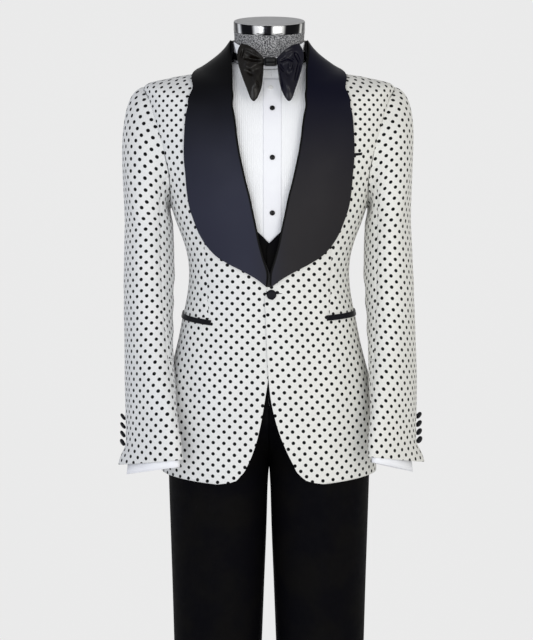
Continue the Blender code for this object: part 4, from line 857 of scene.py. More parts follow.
def build_sleeves():
    """An upper and an under piece for each jacket sleeve."""
    caps = len(CAP_STEPS)
    weight = fade(np.concatenate((CAP_STEPS, np.ones(len(SLEEVE_LEVELS)))), 0.0, 0.7)
    for part, first, last, count in SLEEVE_PARTS:
        degrees = first + (last - first) * spread(count)
        turns = np.radians(degrees)
        ring, turn = hole_rows(ARMHOLE, degrees)
        top = sleeve_sections(turns, (SLEEVE_RING,))[0]
        outer = np.concatenate((sleeve_cap(figure(ring, turn), turns, top, CAP_STEPS),
                                sleeve_sections(turns, SLEEVE_LEVELS)))
        normal = on_body(sheet_normals(outer), outward(ring, turn))
        u = lengths(outer, 1)
        v = lengths(outer[::-1], 0)[::-1]
        u = u - plumb_offset(outer, u, SLEEVE_PLUMB[part])
        u[:caps] = u[caps]
        u, v = np.moveaxis(flatten(outer, np.stack((u, v), axis=-1), caps), -1, 0)
        swell = panel_swell(outer, u, v, SLEEVE_FOLDS, 0.5 * MM, 0.2, 5.0)
        inner = outer + normal * (swell - JACKET_WALL)[..., None]
        outer = outer + normal * swell[..., None]
        for side, _ in SIDES:
            wall(f"sleeve_{part}_{side}", "dotted_cloth", swing(outer, side, weight),
                 swing(inner, side, weight), DOTTED, sleeve_cloth(side, u, v),
                 gaps=(*SIDE_EDGES, "first_row"), lining=LINING)


def shawl_places(side, count):
    """Ring and turn of the shawl's fold and outer edge, from the button to the back."""
    rows = []
    for fold_x, fold_z, edge_x, edge_z in SHAWL:
        if side == "right" and fold_z < SHAWL_CROSSES:
            fold_x = 2 * MIDDLE_X - fold_x
        rows.append((*front_place(fold_x, fold_z), *front_place(edge_x, edge_z)))
    for degrees in SHAWL_BACK_TURNS:
        share = float(fade(degrees, 80, 180))
        ring = SHAWL_SHOULDER_RING + (SHAWL_BACK_RING - SHAWL_SHOULDER_RING) * share
        rows.append((TOP_RING, math.radians(degrees), ring, math.radians(degrees)))
    numbered = np.column_stack((np.arange(len(rows)), np.array(rows, float)))
    return np.stack(columns_at(numbered, np.linspace(0, len(rows) - 1, count)), axis=-1)


ROLL_WIDTH, ROLL_DEPTH = 5.0 * MM, 1.5 * MM  # the rounding of the collar along its fold
SHAWL_ROWS, SHAWL_CELLS = 190, 26
NEAR_FOLD = (0.0, 0.004, 0.012, 0.024)  # shares of its width that keep the fold round


def build_shawl():
    """Half of the shawl collar for each side, meeting at the centre back."""
    share = np.concatenate((NEAR_FOLD, spread(SHAWL_CELLS, 0.008)[2:]))[None, :]
    for side, out in SIDES:
        places = shawl_places(side, SHAWL_ROWS)
        ring = blend(places[:, 0:1], places[:, 2:3], share)
        turn = blend(places[:, 1:2], places[:, 3:4], share)
        moved = lap(figure(ring, turn), out)
        near_neck = fade(ring, *NECK_RINGS)
        lift = SHAWL_LIFT + (NECK_LIFT - SHAWL_LIFT) * near_neck
        thick = SHAWL_WALL * (1 - 0.25 * near_neck)
        inner = layer(ring, turn, -moved - lift)
        inside = np.clip(1 - lengths(inner, 1) / ROLL_WIDTH, 0, 1)
        sunk = ROLL_DEPTH * (1 - np.sqrt(1 - inside ** 2 * 0.98))
        outer = layer(ring, turn, -moved - lift - thick + sunk)
        wall("shawl_" + side, "black_satin", *for_side(side, outer, inner), LAPEL,
             gaps=("last_row",))


BAND_ROWS = 13
BAND_CROWN, GROOVE_WIDTH = 0.35 * MM, 0.13  # the groove's width is a share of half the band's


def band(name, ends, half_height, columns, lift, thick, side="left"):
    """A flat band on the jacket with a rounded face and a groove along its middle."""
    (ring0, turn0), (ring1, turn1) = ends
    share = np.linspace(0, 1, columns + 1)[None, :]
    up = np.linspace(-1, 1, BAND_ROWS)[:, None]
    ring = ring0 + (ring1 - ring0) * share + half_height * up
    turn = turn0 + (turn1 - turn0) * share + 0 * up
    crown = BAND_CROWN * (1 - up ** 4) - BAND_CROWN * np.exp(-(up / GROOVE_WIDTH) ** 2)
    sheets = layer(ring, turn, -lift - thick - crown), layer(ring, turn, -lift)
    wall(name, "black_satin", *for_side(side, *sheets), TRIM)


BUTTON_POINTS = 40
# radius and height of a button's rings, as shares
BUTTON_PROFILE = ((0.86, 0.0), (0.93, 0.10), (0.985, 0.25), (1.0, 0.40), (0.985, 0.52),
                  (0.93, 0.68), (0.80, 0.83), (0.60, 0.93), (0.35, 0.985))


def button(name, centre, facing, radius, height, material):
    """A domed button on a face that looks along facing."""
    facing = unit(np.asarray(facing, float))
    across = unit(np.cross((0.0, 0.0, 1.0), facing))
    rise = np.cross(facing, across)
    angles = once_round(BUTTON_POINTS)[:, None]
    circle = np.cos(angles) * across + np.sin(angles) * rise
    revolve(name, [centre + circle * radius * r + facing * (height * h)
                         for r, h in BUTTON_PROFILE], material)


# hip pockets: ring of the front end and of the back end, half height
HIP_POCKETS = {"left": (1.1035, 1.1095, 4.6 * MM), "right": (1.0955, 1.1060, 4.4 * MM)}
POCKET_TURNS = (math.radians(38.5), math.radians(96.0))
WELT_ENDS = ((0.1385, 1.3813), (0.1570, 1.3830))  # x and z of the breast welt's ends
FRONT_BUTTON, FRONT_BUTTON_RADIUS = (0.0040, 1.1450), 8.4 * MM  # x and z
BUTTON_HEIGHT = 4.6 * MM
CUFF_BUTTON_LEVELS = (0.9330, 0.9200, 0.9070, 0.8940)
CUFF_BUTTON_TURN = 300.0
CUFF_BUTTON_RADIUS = 6.8 * MM
CUFF_BUTTON_TILT = 0.62  # a button hangs from its foot and looks down by this slope
CUFF_BUTTON_AHEAD = {"left": 0.85, "right": 0.5}  # and forward by this one
CUFF_BUTTON_LIFT = 3.8 * MM  # its middle stands this far off, its lower edge just clear


def build_cuff_buttons():
    """Four buttons up the back edge of each sleeve."""
    turns = np.radians(CUFF_BUTTON_TURN + np.array((-1.0, 0.0, 1.0)))
    for side, out in SIDES:
        for number, level in enumerate(CUFF_BUTTON_LEVELS):
            rows = swing(sleeve_sections(turns, (level + 0.004, level, level - 0.004)), side)
            away = sheet_normals(rows)[1, 1] * out
            facing = unit(away + np.array((0.0, -CUFF_BUTTON_AHEAD[side], -CUFF_BUTTON_TILT)))
            button(f"cuff_button_{side}_{number + 1}",
                   rows[1, 1] + away * CUFF_BUTTON_LIFT, facing, CUFF_BUTTON_RADIUS,
                   BUTTON_HEIGHT, TRIM)


def build_jacket_trim():
    """Pocket jets, the breast welt and the buttons."""
    for side, (low, high, half) in HIP_POCKETS.items():
        band("hip_pocket_" + side, tuple(zip((low, high), POCKET_TURNS)), half, columns=60,
             lift=0.9 * MM, thick=1.4 * MM, side=side)
    band("breast_welt", [front_place(*end) for end in WELT_ENDS], 2.4 * MM, columns=24,
         lift=0.4 * MM, thick=0.9 * MM)
    ring, turn = front_place(*FRONT_BUTTON)
    facing = outward(ring, turn)
    button("front_button", figure(ring, turn) + facing * (LAP_LIFT + 0.3 * MM),
           facing, FRONT_BUTTON_RADIUS, BUTTON_HEIGHT, TRIM)
    build_cuff_buttons()


# ---------------------------------------------------------------- waistcoat

VEST_RINGS = (1.040, 1.110, 1.183, 1.234, 1.260, 1.290, 1.320, 1.360, 1.405, 1.450,
              1.4975, 1.520)
VEST_ARMHOLE = (
    (0.0, 1.4975, 0.004), (40.0, 1.450, -0.070), (80.0, 1.405, -0.084),
    (110.0, 1.360, -0.082), (140.0, 1.320, -0.066), (165.0, 1.290, -0.036),
    (180.0, 1.260, 0.010),
    (195.0, 1.290, 0.050), (220.0, 1.320, 0.072), (250.0, 1.360, 0.084),
    (280.0, 1.405, 0.086), (320.0, 1.450, 0.078),
)
VEST_EDGE = ((1.040, 0.0003), (1.200, 0.0003), (1.234, 0.0040), (1.260, 0.0300),
             (1.290, 0.0560), (1.320, 0.0740), (1.360, 0.0860), (1.405, 0.0920),
             (1.450, 0.0930), (1.530, 0.0900))
VEST_SHOULDER_X = 0.150
VEST_OVERLAP, VEST_LAP_LIFT = 5.0 * MM, 0.95 * MM  # where the two fronts close on each other
VEST_LAP_WIDTH = (0.010, 0.026)  # the lift fades out over these distances from the middle
VEST_SHOULDER_RING = 1.43


def vest_seam(ring, forward):
    """Outer edge of the waistcoat: side seam, armhole and then the shoulder's end."""
    turn = seam_turn(ring, VEST_ARMHOLE, forward)
    if ring < VEST_SHOULDER_RING:
        return turn
    limit = float(turn_at_x(ring, min(VEST_SHOULDER_X, 0.97 * ring_values(ring)[0])))
    return min(turn, limit) if forward else max(turn, math.pi - limit)


def vest_seams(rings, forward):
    """The waistcoat's outer edge at each ring."""
    return np.array([vest_seam(ring, forward) for ring in rings])


def build_vest():
    """Two fronts and a back, open at the neck and at the arms."""
    rings = between(VEST_RINGS, COARSE_CELL)
    edge_x = curve(VEST_EDGE, rings)
    edge_x = edge_x - VEST_OVERLAP * (1 - fade(edge_x, 0.0, 0.006))
    ring, turn = panel(rings, turn_at_x(rings, edge_x), vest_seams(rings, True),
                       spread(24, 0.01))
    near = 1 - fade(np.abs(figure(ring, turn)[..., 0]), *VEST_LAP_WIDTH)
    for side, out in SIDES:
        inset = VEST_INSET - out * VEST_LAP_LIFT * near
        wall("waistcoat_front_" + side, "black_wool",
             *two_sheets(ring, turn, inset, VEST_WALL, side), WOOL, gaps=("last_column",))
    edge = vest_seams(rings, False)
    ring, turn = panel(rings, edge, 2 * math.pi - edge, spread(40, 0.01))
    wall("waistcoat_back", "black_satin", *two_sheets(ring, turn, VEST_INSET, VEST_WALL),
         LINING, gaps=SIDE_EDGES)


# ---------------------------------------------------------------- shirt

SHIRT_STOPS = (0.955, 1.040, 1.345, 1.4975, 1.585)
SHIRT_ARMHOLE = (
    (0.0, 1.4975, 0.004), (33.0, 1.465, -0.040), (62.0, 1.435, -0.054),
    (85.0, 1.405, -0.060), (110.0, 1.375, -0.054), (140.0, 1.345, -0.036),
    (180.0, 1.320, 0.006),
    (220.0, 1.345, 0.048), (250.0, 1.375, 0.062), (275.0, 1.405, 0.066),
    (298.0, 1.435, 0.060), (327.0, 1.465, 0.048),
)
CLOSURE_X = 0.0055  # where the shirt's fronts meet
SHIRT_TUCK, TUCK_RINGS = 7.5 * MM, (0.955, 1.035)
COLLAR_RADIUS, COLLAR_Y = 0.0622, 0.0075
# z at the front, side and back of the collar band's foot, middle and top
COLLAR_LEVELS = ((1.528, 1.545, 1.556), (1.538, 1.560, 1.574), (1.547, 1.576, 1.592))
COLLAR_FOOT = COLLAR_LEVELS[0]
COLLAR_ROWS = 6  # rows of the shirt's cloth from the figure up to the collar's foot
PLEAT, PLEAT_DEPTH, FIRST_PLEAT, PLEATS_TO = 3.5 * MM, 0.8 * MM, 15.5 * MM, 0.075
PLACKET_HALF, STITCH_AT, STITCH_WIDTH = 15.2, 11.5 * MM, 0.7 * MM  # the first is in mm
NECK_POINTS = 96  # points of a ring round the neck or the waist
# a collar wing's corners: degrees round the neck and z
WING_CORNERS = np.array(((64.0, 1.5755), (47.0, 1.5680), (55.0, 1.5540)))
WING_LIFTS = (5.3 * MM, 4.3 * MM)


def shirt_inset(ring, extra):
    """How deep the shirt lies: deeper below the waist, where the trousers cover it."""
    return SHIRT_INSET + extra + SHIRT_TUCK * (1 - fade(ring, *TUCK_RINGS))


def round_neck(radius, turns, z):
    """Points at a radius round the neck, at given heights."""
    return np.stack((radius * np.sin(turns), COLLAR_Y - radius * np.cos(turns), z), axis=-1)


def neck_points(turns, levels, radius):
    """Points round the neck; levels gives z at the front, side and back."""
    along = np.cos(turns)
    front, side, back = levels
    z = side + np.where(along > 0, front - side, back - side) * np.abs(along) ** 1.5
    return round_neck(radius, turns, z)


def neck_sheets(turns, levels, radii):
    """Outer and inner sheet of a band round the neck."""
    return [np.stack([neck_points(turns, level, radius) for level in levels])
            for radius in radii]


def shirt_sheets(ring, turn, swell=0.0):
    """Outer and inner sheet of a shirt piece, ending in rows round the collar's foot."""
    sheets = []
    for depth in (0.0, SHIRT_WALL):
        foot = neck_points(turn[-1], COLLAR_FOOT, COLLAR_RADIUS - depth)
        foot[:, 2] -= 1.2 * MM
        body = layer(ring, turn, shirt_inset(ring, depth) - swell)
        steps = np.linspace(0, 1, COLLAR_ROWS + 1)[1:, None, None]
        sheets.append(np.concatenate((body, blend(body[-1], foot, steps))))
    return sheets


def pleats(x, out):
    """How far the pleats stand out, across the shirt's front."""
    phase = (x - CLOSURE_X * out - FIRST_PLEAT) / PLEAT
    fall = phase - np.floor(phase)
    level = PLEAT_DEPTH * fade(fall, 0.0, 0.3) * (1 - 0.6 * fall)
    return level * (phase > 0) * (1 - fade(x, PLEATS_TO - 0.006, PLEATS_TO))


def build_shirt_front(side, out, rings):
    """A front from the closure over the pleats to the side seam, armhole and shoulder."""
    start = turn_at_x(rings, CLOSURE_X * out * np.ones(len(rings)))[:, None]
    end = seam_turns(rings, SHIRT_ARMHOLE, True)[:, None]
    near = PLEATS_TO * np.linspace(0, 1, 180)[None, :]
    pleated = turn_at_x(rings[:, None], np.minimum(
        near + CLOSURE_X * out, 0.92 * ring_values(rings)[0][:, None]))
    rest = pleated[:, -1:] + (end - pleated[:, -1:]) * spread(24, 0.01)[None, 1:]
    turn = np.concatenate((pleated, rest), axis=1)
    turn = np.minimum(turn, np.maximum(end, start + 0.001))
    ring = rings[:, None] + 0 * turn
    x = figure(ring, turn)[..., 0]
    outer, inner = shirt_sheets(ring, turn, pleats(x, out))
    u = np.concatenate((x, np.repeat(x[-1:], COLLAR_ROWS, axis=0)))
    wall("shirt_front_" + side, "white_cotton", *for_side(side, outer, inner), SHIRTING,
         np.stack((u, lengths(outer, 0)), axis=-1), gaps=SIDE_EDGES)


def build_placket():
    """The strip down the shirt's closure, with a row of stitches along each edge."""
    levels = between((1.040, 1.585), 6 * MM)
    x = CLOSURE_X + np.linspace(-PLACKET_HALF, PLACKET_HALF, 31)[None, :] * MM
    turn = turn_at_x(levels[:, None], x + 0 * levels[:, None])
    ring = levels[:, None] + 0 * turn
    stitch = 0.18 * MM * np.exp(-((np.abs(x - CLOSURE_X) - STITCH_AT) / STITCH_WIDTH) ** 2)
    wall("shirt_placket", "white_cotton",
         layer(ring, turn, SHIRT_INSET - 1.5 * MM + stitch),
         layer(ring, turn, SHIRT_INSET - 0.5 * MM), COTTON)


def build_shirt_body():
    """Two pleated fronts, a back and the placket."""
    rings = between(SHIRT_STOPS, COARSE_CELL)
    for side, out in SIDES:
        build_shirt_front(side, out, rings)
    edge = seam_turns(rings, SHIRT_ARMHOLE, False)
    ring, turn = panel(rings, edge, 2 * math.pi - edge, spread(48, 0.01))
    wall("shirt_back", "white_cotton", *shirt_sheets(ring, turn), SHIRTING, gaps=SIDE_EDGES)
    build_placket()


def build_shirt_collar():
    """Standing collar band and its two folded wings."""
    share = np.linspace(0, 2, 17)
    levels = np.stack([np.interp(share, range(3), stops) for stops in zip(*COLLAR_LEVELS)],
                      axis=-1)
    sheets = neck_sheets(once_round(NECK_POINTS), levels,
                         (COLLAR_RADIUS, COLLAR_RADIUS - 1.1 * MM))
    wall("shirt_collar", "white_cotton", *sheets, COTTON, closed=True)
    across = np.linspace(0, 1, 15)[:, None, None]
    down = np.linspace(0, 1, 13)[None, :, None]
    upper, lower, tip = WING_CORNERS
    spots = blend(blend(upper, lower, across), tip, down)
    spots[:, -1] = tip + (spots[:, -2] - tip) * 0.05
    turns, z = np.radians(spots[..., 0]), spots[..., 1]
    sheets = [round_neck(COLLAR_RADIUS + lift, turns, z) for lift in WING_LIFTS]
    for side, _ in SIDES:
        wall("collar_wing_" + side, "white_cotton", *for_side(side, *sheets), COTTON)


SHIRT_SLEEVE_SLIM, SHIRT_CAP_SLIM = 8.0 * MM, 10.5 * MM
SLEEVE_POINTS = 72
CUFF_ROWS = 16
CUFF_LEVELS = np.linspace(0.9245, 0.8580, CUFF_ROWS)
CUFF_SLIM, CUFF_WALL = 6.0 * MM, 1.2 * MM
# how far a cuff's end is short and ahead of its sleeve's, and shows at its front and back
CUFF_ENDS = {"left": (12.2 * MM, 12.0 * MM, 9.5 * MM, 14.5 * MM),
             "right": (6.6 * MM, 6.4 * MM, 12.0 * MM, 15.0 * MM)}


def shirt_cuff(turns, side):
    """Rows round a shirt cuff, which closes in and forwards towards its end."""
    short, ahead, front, back = CUFF_ENDS[side]
    close = fade(0.912 - CUFF_LEVELS, 0.0, 0.046)[:, None]
    cuff = sleeve_sections(turns, CUFF_LEVELS, CUFF_SLIM, short * close, ahead * close)
    share = fade(np.arange(CUFF_ROWS), 12.0, 15.0)[:, None]
    cuff[..., 1] -= 4.5 * MM * share
    cuff[..., 2] -= (front + (back - front) * (1 - np.sin(turns)) / 2) * share
    return cuff


def build_shirt_sleeves():
    """Plain tubes from the shirt's armholes into its cuffs."""
    degrees = np.linspace(0, 360, SLEEVE_POINTS, endpoint=False)
    turns = np.radians(degrees)
    ring, turn = hole_rows(SHIRT_ARMHOLE, degrees)
    top = sleeve_sections(turns, (1.250,), SHIRT_CAP_SLIM)[0]
    cap = sleeve_cap(layer(ring, turn, SHIRT_INSET), turns, top, np.linspace(0, 1, 26),
                     drop=1.2, push=0.034)
    levels = between((1.242, 0.925), 9 * MM)
    slim = fade(np.arange(len(levels)), 0, 9)[:, None, None]
    outer = np.concatenate((cap, blend(sleeve_sections(turns, levels, SHIRT_CAP_SLIM),
                                       sleeve_sections(turns, levels, SHIRT_SLEEVE_SLIM), slim)))
    inner = outer - on_body(sheet_normals(outer, True), outward(ring, turn)) * SHIRT_WALL
    for side, _ in SIDES:
        cuff = shirt_cuff(once_round(SLEEVE_POINTS), side)
        cuff_inner = cuff - sheet_normals(cuff, True) * CUFF_WALL
        for name, *sheets in (("shirt_sleeve_", outer, inner), ("shirt_cuff_", cuff, cuff_inner)):
            wall(name + side, "white_cotton", *(swing(sheet, side) for sheet in sheets), COTTON,
                 closed=True, gaps=("first_row",))


# name, slot, distance from the closure and z, radius and height of what closes the shirt
STUDS = (("shirt_stud_1", "stud_black", 0.0, 1.4643, 4.4 * MM, 3.0 * MM),
         ("shirt_stud_2", "stud_black", 0.0, 1.3780, 4.4 * MM, 3.0 * MM),
         ("shirt_stud_3", "stud_black", 0.0, 1.2825, 4.4 * MM, 3.0 * MM),
         ("shirt_button", "button_white", -3.0 * MM, 1.5010, 4.6 * MM, 1.6 * MM))


def build_studs():
    """Three dark studs and the small white button at the collar."""
    for name, slot, off, z, radius, height in STUDS:
        ring, turn = front_place(CLOSURE_X + off, z)
        place = layer(ring, turn, SHIRT_INSET - 1.6 * MM)
        button(name, place, outward(ring, turn), radius, height,
               JET if slot == "stud_black" else PEARL)


# ---------------------------------------------------------------- bow tie

BOW_X, BOW_RAISED = 0.0022, 1.2 * MM
BOW_Y, BOW_HANG, BOW_HIGH = -0.0735, 0.0290, 1.575  # below BOW_HIGH a wing comes forwards
BOW_LEAN, BOW_LEAN_Z = 0.022, 1.545  # the wings lean sideways about this height
BOW_FRONT, BOW_BACK = 8.5 * MM, 2.0 * MM  # how far a wing swells forwards and back
BOW_SINK = 7.0 * MM  # no crease of a wing goes deeper than this
KNOT = (0.0112, 0.0085, 0.0073)  # half sizes
KNOT_AT = (BOW_X, -0.0745, 1.5390)
BOW_BAND = ((1.5345, 1.5490, 1.5610), (1.5460, 1.5620, 1.5745))  # its edges' z, as the collar's
BOW_BAND_RADII = (0.0648, 0.0637)
# outlines of the left wing, from the middle: x and z
BOW_OUTER = ((0.0490, 1.5688), (0.0545, 1.5590), (0.0565, 1.5465), (0.0540, 1.5306),
             (0.0475, 1.5088), (0.0408, 1.4903), (0.0348, 1.4745), (0.0290, 1.4703),
             (0.0232, 1.4760))
BOW_TOP = ((0.0116, 1.5450), (0.0240, 1.5572), (0.0365, 1.5655), (0.0490, 1.5688))
BOW_BOTTOM = ((0.0116, 1.5335), (0.0130, 1.5120), (0.0165, 1.4920), (0.0232, 1.4760))
# creases of each wing: x and z of the two ends (x outwards), width and height
BOW_FOLDS = {
    "right": ((0.0130, 1.5430, 0.0470, 1.5600, 0.0045, 0.0046),
              (0.0130, 1.5390, 0.0500, 1.5440, 0.0030, -0.0048),
              (0.0150, 1.5360, 0.0450, 1.5250, 0.0055, 0.0050),
              (0.0150, 1.5280, 0.0340, 1.4880, 0.0060, 0.0028),
              (0.0440, 1.5640, 0.0520, 1.5400, 0.0025, -0.0040),
              (0.0370, 1.5430, 0.0440, 1.5260, 0.0035, 0.0034),
              (0.0430, 1.5260, 0.0300, 1.5130, 0.0035, -0.0028),
              (0.0290, 1.5120, 0.0230, 1.4900, 0.0030, 0.0019)),
    "left": ((0.0290, 1.5290, 0.0370, 1.5270, 0.0070, 0.0070),
             (0.0150, 1.5370, 0.0290, 1.5430, 0.0026, -0.0040),
             (0.0290, 1.5440, 0.0400, 1.5380, 0.0026, -0.0034),
             (0.0200, 1.5500, 0.0430, 1.5590, 0.0050, 0.0045),
             (0.0415, 1.5530, 0.0495, 1.5360, 0.0030, -0.0060),
             (0.0495, 1.5370, 0.0410, 1.5010, 0.0030, -0.0060),
             (0.0160, 1.5200, 0.0330, 1.4850, 0.0080, 0.0040),
             (0.0130, 1.5330, 0.0250, 1.5180, 0.0026, -0.0034)),
}


def bow_wing(across, down):
    """The left wing, from the knot out by rows from top to tip.

    It gives x, z, the y of the wing's middle and how far it swells there.
    """
    u = np.linspace(0, 1, across + 1)[:, None]
    v = np.linspace(0, 1, down + 1)[None, :]
    sheets = []
    for outer, top, low in zip(*(np.transpose(line) for line in (BOW_OUTER, BOW_TOP,
                                                                 BOW_BOTTOM))):
        outline = smooth(np.linspace(0, 1, len(outer)), outer, v)
        straight = blend(blend(top[0], low[0], v), outline, u)
        top_bulge = smooth(np.linspace(0, 1, len(top)), top, u) - blend(top[0], top[-1], u)
        low_bulge = smooth(np.linspace(0, 1, len(low)), low, u) - blend(low[0], low[-1], u)
        sheets.append(straight + top_bulge * (1 - v) + low_bulge * v)
    x, z = sheets
    middle = BOW_Y - BOW_HANG * fade(BOW_HIGH - z, 0.0, 0.105) - 0.004 * u
    swell = np.sin(math.pi * np.clip(u * 0.93 + 0.05, 0, 1)) ** 0.7 * np.sin(math.pi * v) ** 0.6
    return x, z, middle, swell * np.ones_like(z)


def build_bow_wings():
    """Two drooping, creased wings."""
    x, z, middle, swell = bow_wing(64, 84)
    # each wing takes a copy of the satin with its own painted light, cool on the left and warm on
    # the right
    for (side, out), material in zip(SIDES, (BOW_PAINTED_COOL_LIGHT, BOW_PAINTED_WARM_LIGHT)):
        place = BOW_X + out * x + BOW_LEAN * (BOW_LEAN_Z - z)
        crease = folds(x, z, BOW_FOLDS[side]) * fade(swell, 0.15, 0.6)
        crease = np.maximum(crease, -BOW_SINK * swell)
        front = np.stack((place, middle - BOW_FRONT * swell - crease, z + BOW_RAISED), axis=-1)
        back = np.stack((place, middle + BOW_BACK * swell + 0.3 * MM, z + BOW_RAISED), axis=-1)
        wall("bow_wing_" + side, "black_satin", front, back, material)


def build_bow_knot():
    """The knot, a soft block with a groove across it."""
    angles = once_round(64)
    reach = np.sign(np.cos(angles)) * np.abs(np.cos(angles)) ** 0.45
    rings = []
    for lift in np.linspace(-1, 1, 49):
        size = 1 - 0.22 * abs(lift) ** 8
        groove = 1 - 0.16 * math.exp(-((lift + 0.15) / 0.10) ** 2)
        rings.append(np.stack((KNOT_AT[0] + KNOT[0] * size * reach,
                               KNOT_AT[1] + KNOT[1] * size * groove * np.sin(angles),
                               KNOT_AT[2] + KNOT[2] * lift + 0 * angles), axis=-1))
    revolve("bow_knot", rings, BOW)


def build_bow_tie():
    """The wings, the knot and the band round the collar."""
    build_bow_wings()
    build_bow_knot()
    turns = np.linspace(math.radians(8), math.radians(352), 120)
    levels = [tuple(a + (b - a) * s for a, b in zip(*BOW_BAND)) for s in np.linspace(0, 1, 9)]
    wall("bow_band", "black_satin", *neck_sheets(turns, levels, BOW_BAND_RADII), BOW)


# ---------------------------------------------------------------- trousers

# left leg: z, x of its inside and outside, y of its front and back
LEG = np.array((
    (0.048, 0.0262, 0.1580, -0.0680, 0.0720),
    (0.200, 0.0232, 0.1605, -0.0695, 0.0725),
    (0.400, 0.0175, 0.1645, -0.0720, 0.0740),
    (0.531, 0.0123, 0.1677, -0.0755, 0.0765),
    (0.638, 0.0081, 0.1705, -0.0830, 0.0830),
    (0.731, 0.0044, 0.1733, -0.0885, 0.0900),
    (0.780, 0.0030, 0.1748, -0.0915, 0.0940),
    (0.830, 0.0020, 0.1762, -0.0935, 0.0970),
))
CROTCH, HIP = 0.832, 0.935
WAIST_TOP, BAND_LOW = 1.030, 0.995
CREASE_TURN = math.radians(8.0)
GAP_CLOSES = (0.790, 0.850)  # the gap between the legs narrows to nothing over these heights
SEAM_SHIFT, SEAM_SHIFT_REACH = 3.0 * MM, 12.0 * MM
LEG_ROUND = 0.95  # power of the leg's outline: 1 is an ellipse
CREASE_HEIGHT, CREASE_WIDTH = 4.2 * MM, 0.16
CENTRE_X = 0.3 * MM  # how close the two halves come at the centre seams
# depth under the jacket's face: ring, inset
TROUSER_INSET = ((0.825, 0.0165), (0.880, 0.0160), (0.930, 0.0140), (0.990, 0.0090),
                 (1.030, 0.0085))
BAND_INSET = 8.8 * MM


def leg_point(z, turn, slim=0.0):
    """Points round the left leg; turn 0 at the front, 90 outside, -90 inside."""
    x_in, x_out, y_front, y_back = columns_at(LEG, z)
    centre, half = (x_in + x_out) / 2, (x_out - x_in) / 2 - slim
    across, along = np.sin(turn), np.cos(turn)
    x = centre + half * np.sign(across) * np.abs(across) ** LEG_ROUND
    reach = np.sign(along) * np.abs(along) ** LEG_ROUND
    y = np.where(along > 0, (y_front + slim) * reach, -(y_back - slim) * reach)
    crease = np.exp(-(np.abs(turn - CREASE_TURN) / CREASE_WIDTH)) * fade(0.93 - z, 0.0, 0.15)
    back_crease = np.exp(-(np.abs(np.abs(turn) - math.pi + 0.1) / CREASE_WIDTH))
    back_crease = back_crease * fade(0.88 - z, 0.0, 0.15)
    y = y - CREASE_HEIGHT * crease + CREASE_HEIGHT * back_crease * (turn > 0)
    return np.stack((x, y, z + 0 * x), axis=-1)


def trouser_turns(back, count):
    """Turns round the leg for the front (inside to outside) or the back (outside to in)."""
    half = math.pi / 2
    if back:
        return half + 2 * half * spread(count, 0.008)
    inside = -half + (CREASE_TURN + half) * spread(count // 2, 0.012)
    return np.concatenate((inside[:-1], CREASE_TURN + (half - CREASE_TURN)
                           * spread(count // 2, 0.012)))


def trouser_sheet(levels, back, slim, count):
    """A front or back piece of the left half, waist and leg in one."""
    turns = trouser_turns(back, count)
    z = levels[:, None] * np.ones((1, len(turns)))
    wrapped = np.where(turns > math.pi, turns - 2 * math.pi, turns)
    leg = leg_point(z, wrapped * np.ones_like(z), slim)
    share = 1 + (turns / math.pi - 0.5) if back else (turns + math.pi / 2) / math.pi
    ring = np.clip(z, HEM_RING + 0.001, None)
    hip = layer(ring, share[None, :] * math.pi / 2 + 0 * z, curve(TROUSER_INSET, ring) + slim)
    hip[..., 2] = z
    sheet = blend(leg, hip, fade(z, CROTCH, HIP)[..., None])
    centre = -1 if back else 0
    beside = np.maximum(sheet[:, centre, 0], CENTRE_X) - CENTRE_X
    sheet[:, centre, 0] = CENTRE_X + beside * (1 - fade(levels, *GAP_CLOSES))
    return sheet


def shift_back_seam(sheet):
    """Move the back seam sideways, so that no light comes through both seams in one line."""
    near = np.exp(-(sheet[..., 0] / SEAM_SHIFT_REACH) ** 2)
    sheet[..., 0] += SEAM_SHIFT * near * fade(sheet[..., 2], 0.825, 0.850)


def build_trousers():
    """Front and back of each half, with the waistband above them."""
    levels = between((0.048, 0.052, 0.775, BAND_LOW), COARSE_CELL)
    for part in ("front", "back"):
        sheets = [trouser_sheet(levels, part == "back", slim, 40)
                  for slim in (0.0, TROUSER_WALL)]
        for side, _ in SIDES:
            pair = [sheet.copy() for sheet in for_side(side, *sheets)]
            if part == "back":
                for sheet in pair:
                    shift_back_seam(sheet)
            wall(f"trouser_{part}_{side}", "black_wool", *pair, WOOL,
                 gaps=(*SIDE_EDGES, "last_row"))
    turns = once_round(NECK_POINTS)[None, :]
    levels = np.linspace(BAND_LOW, WAIST_TOP, 9)[:, None] * np.ones((1, NECK_POINTS))
    outer, inner = two_sheets(levels, turns + 0 * levels, BAND_INSET, TROUSER_WALL)
    outer[..., 2] = inner[..., 2] = levels
    wall("trouser_waistband", "black_wool", outer, inner, WOOL, closed=True,
         gaps=("first_row",))


# ---------------------------------------------------------------- dress form and stand

FORM_INSET = 20.0 * MM
NECK_RADIUS = 0.0598
CAP_RADIUS = 0.0620
CAP_TILT = math.radians(11.0)
NECK_TOP = (0.0005, 0.0045, 1.5965)  # centre of the band's lower edge
ROD_X, ROD_Y, ROD_RADIUS, ROD_TOP = 0.089, 0.004, 0.013, 0.9375
PLATE, PLATE_CORNER = (0.230, 0.150, 0.008), 0.030  # half width, half depth, height; corner
# the form's foot and neck: share of the hip's outline and z; z at the neck's front and back
FOOT_RING, FOOT_INSET = 0.955, 24.0 * MM
FORM_LEVELS = np.linspace(0.980, 1.585, 64)
FORM_FOOT = ((0.50, 0.938), (0.82, 0.940), (0.96, 0.947))
FORM_NECK = ((1.517, 1.548), (1.535, 1.563), (1.552, 1.577))
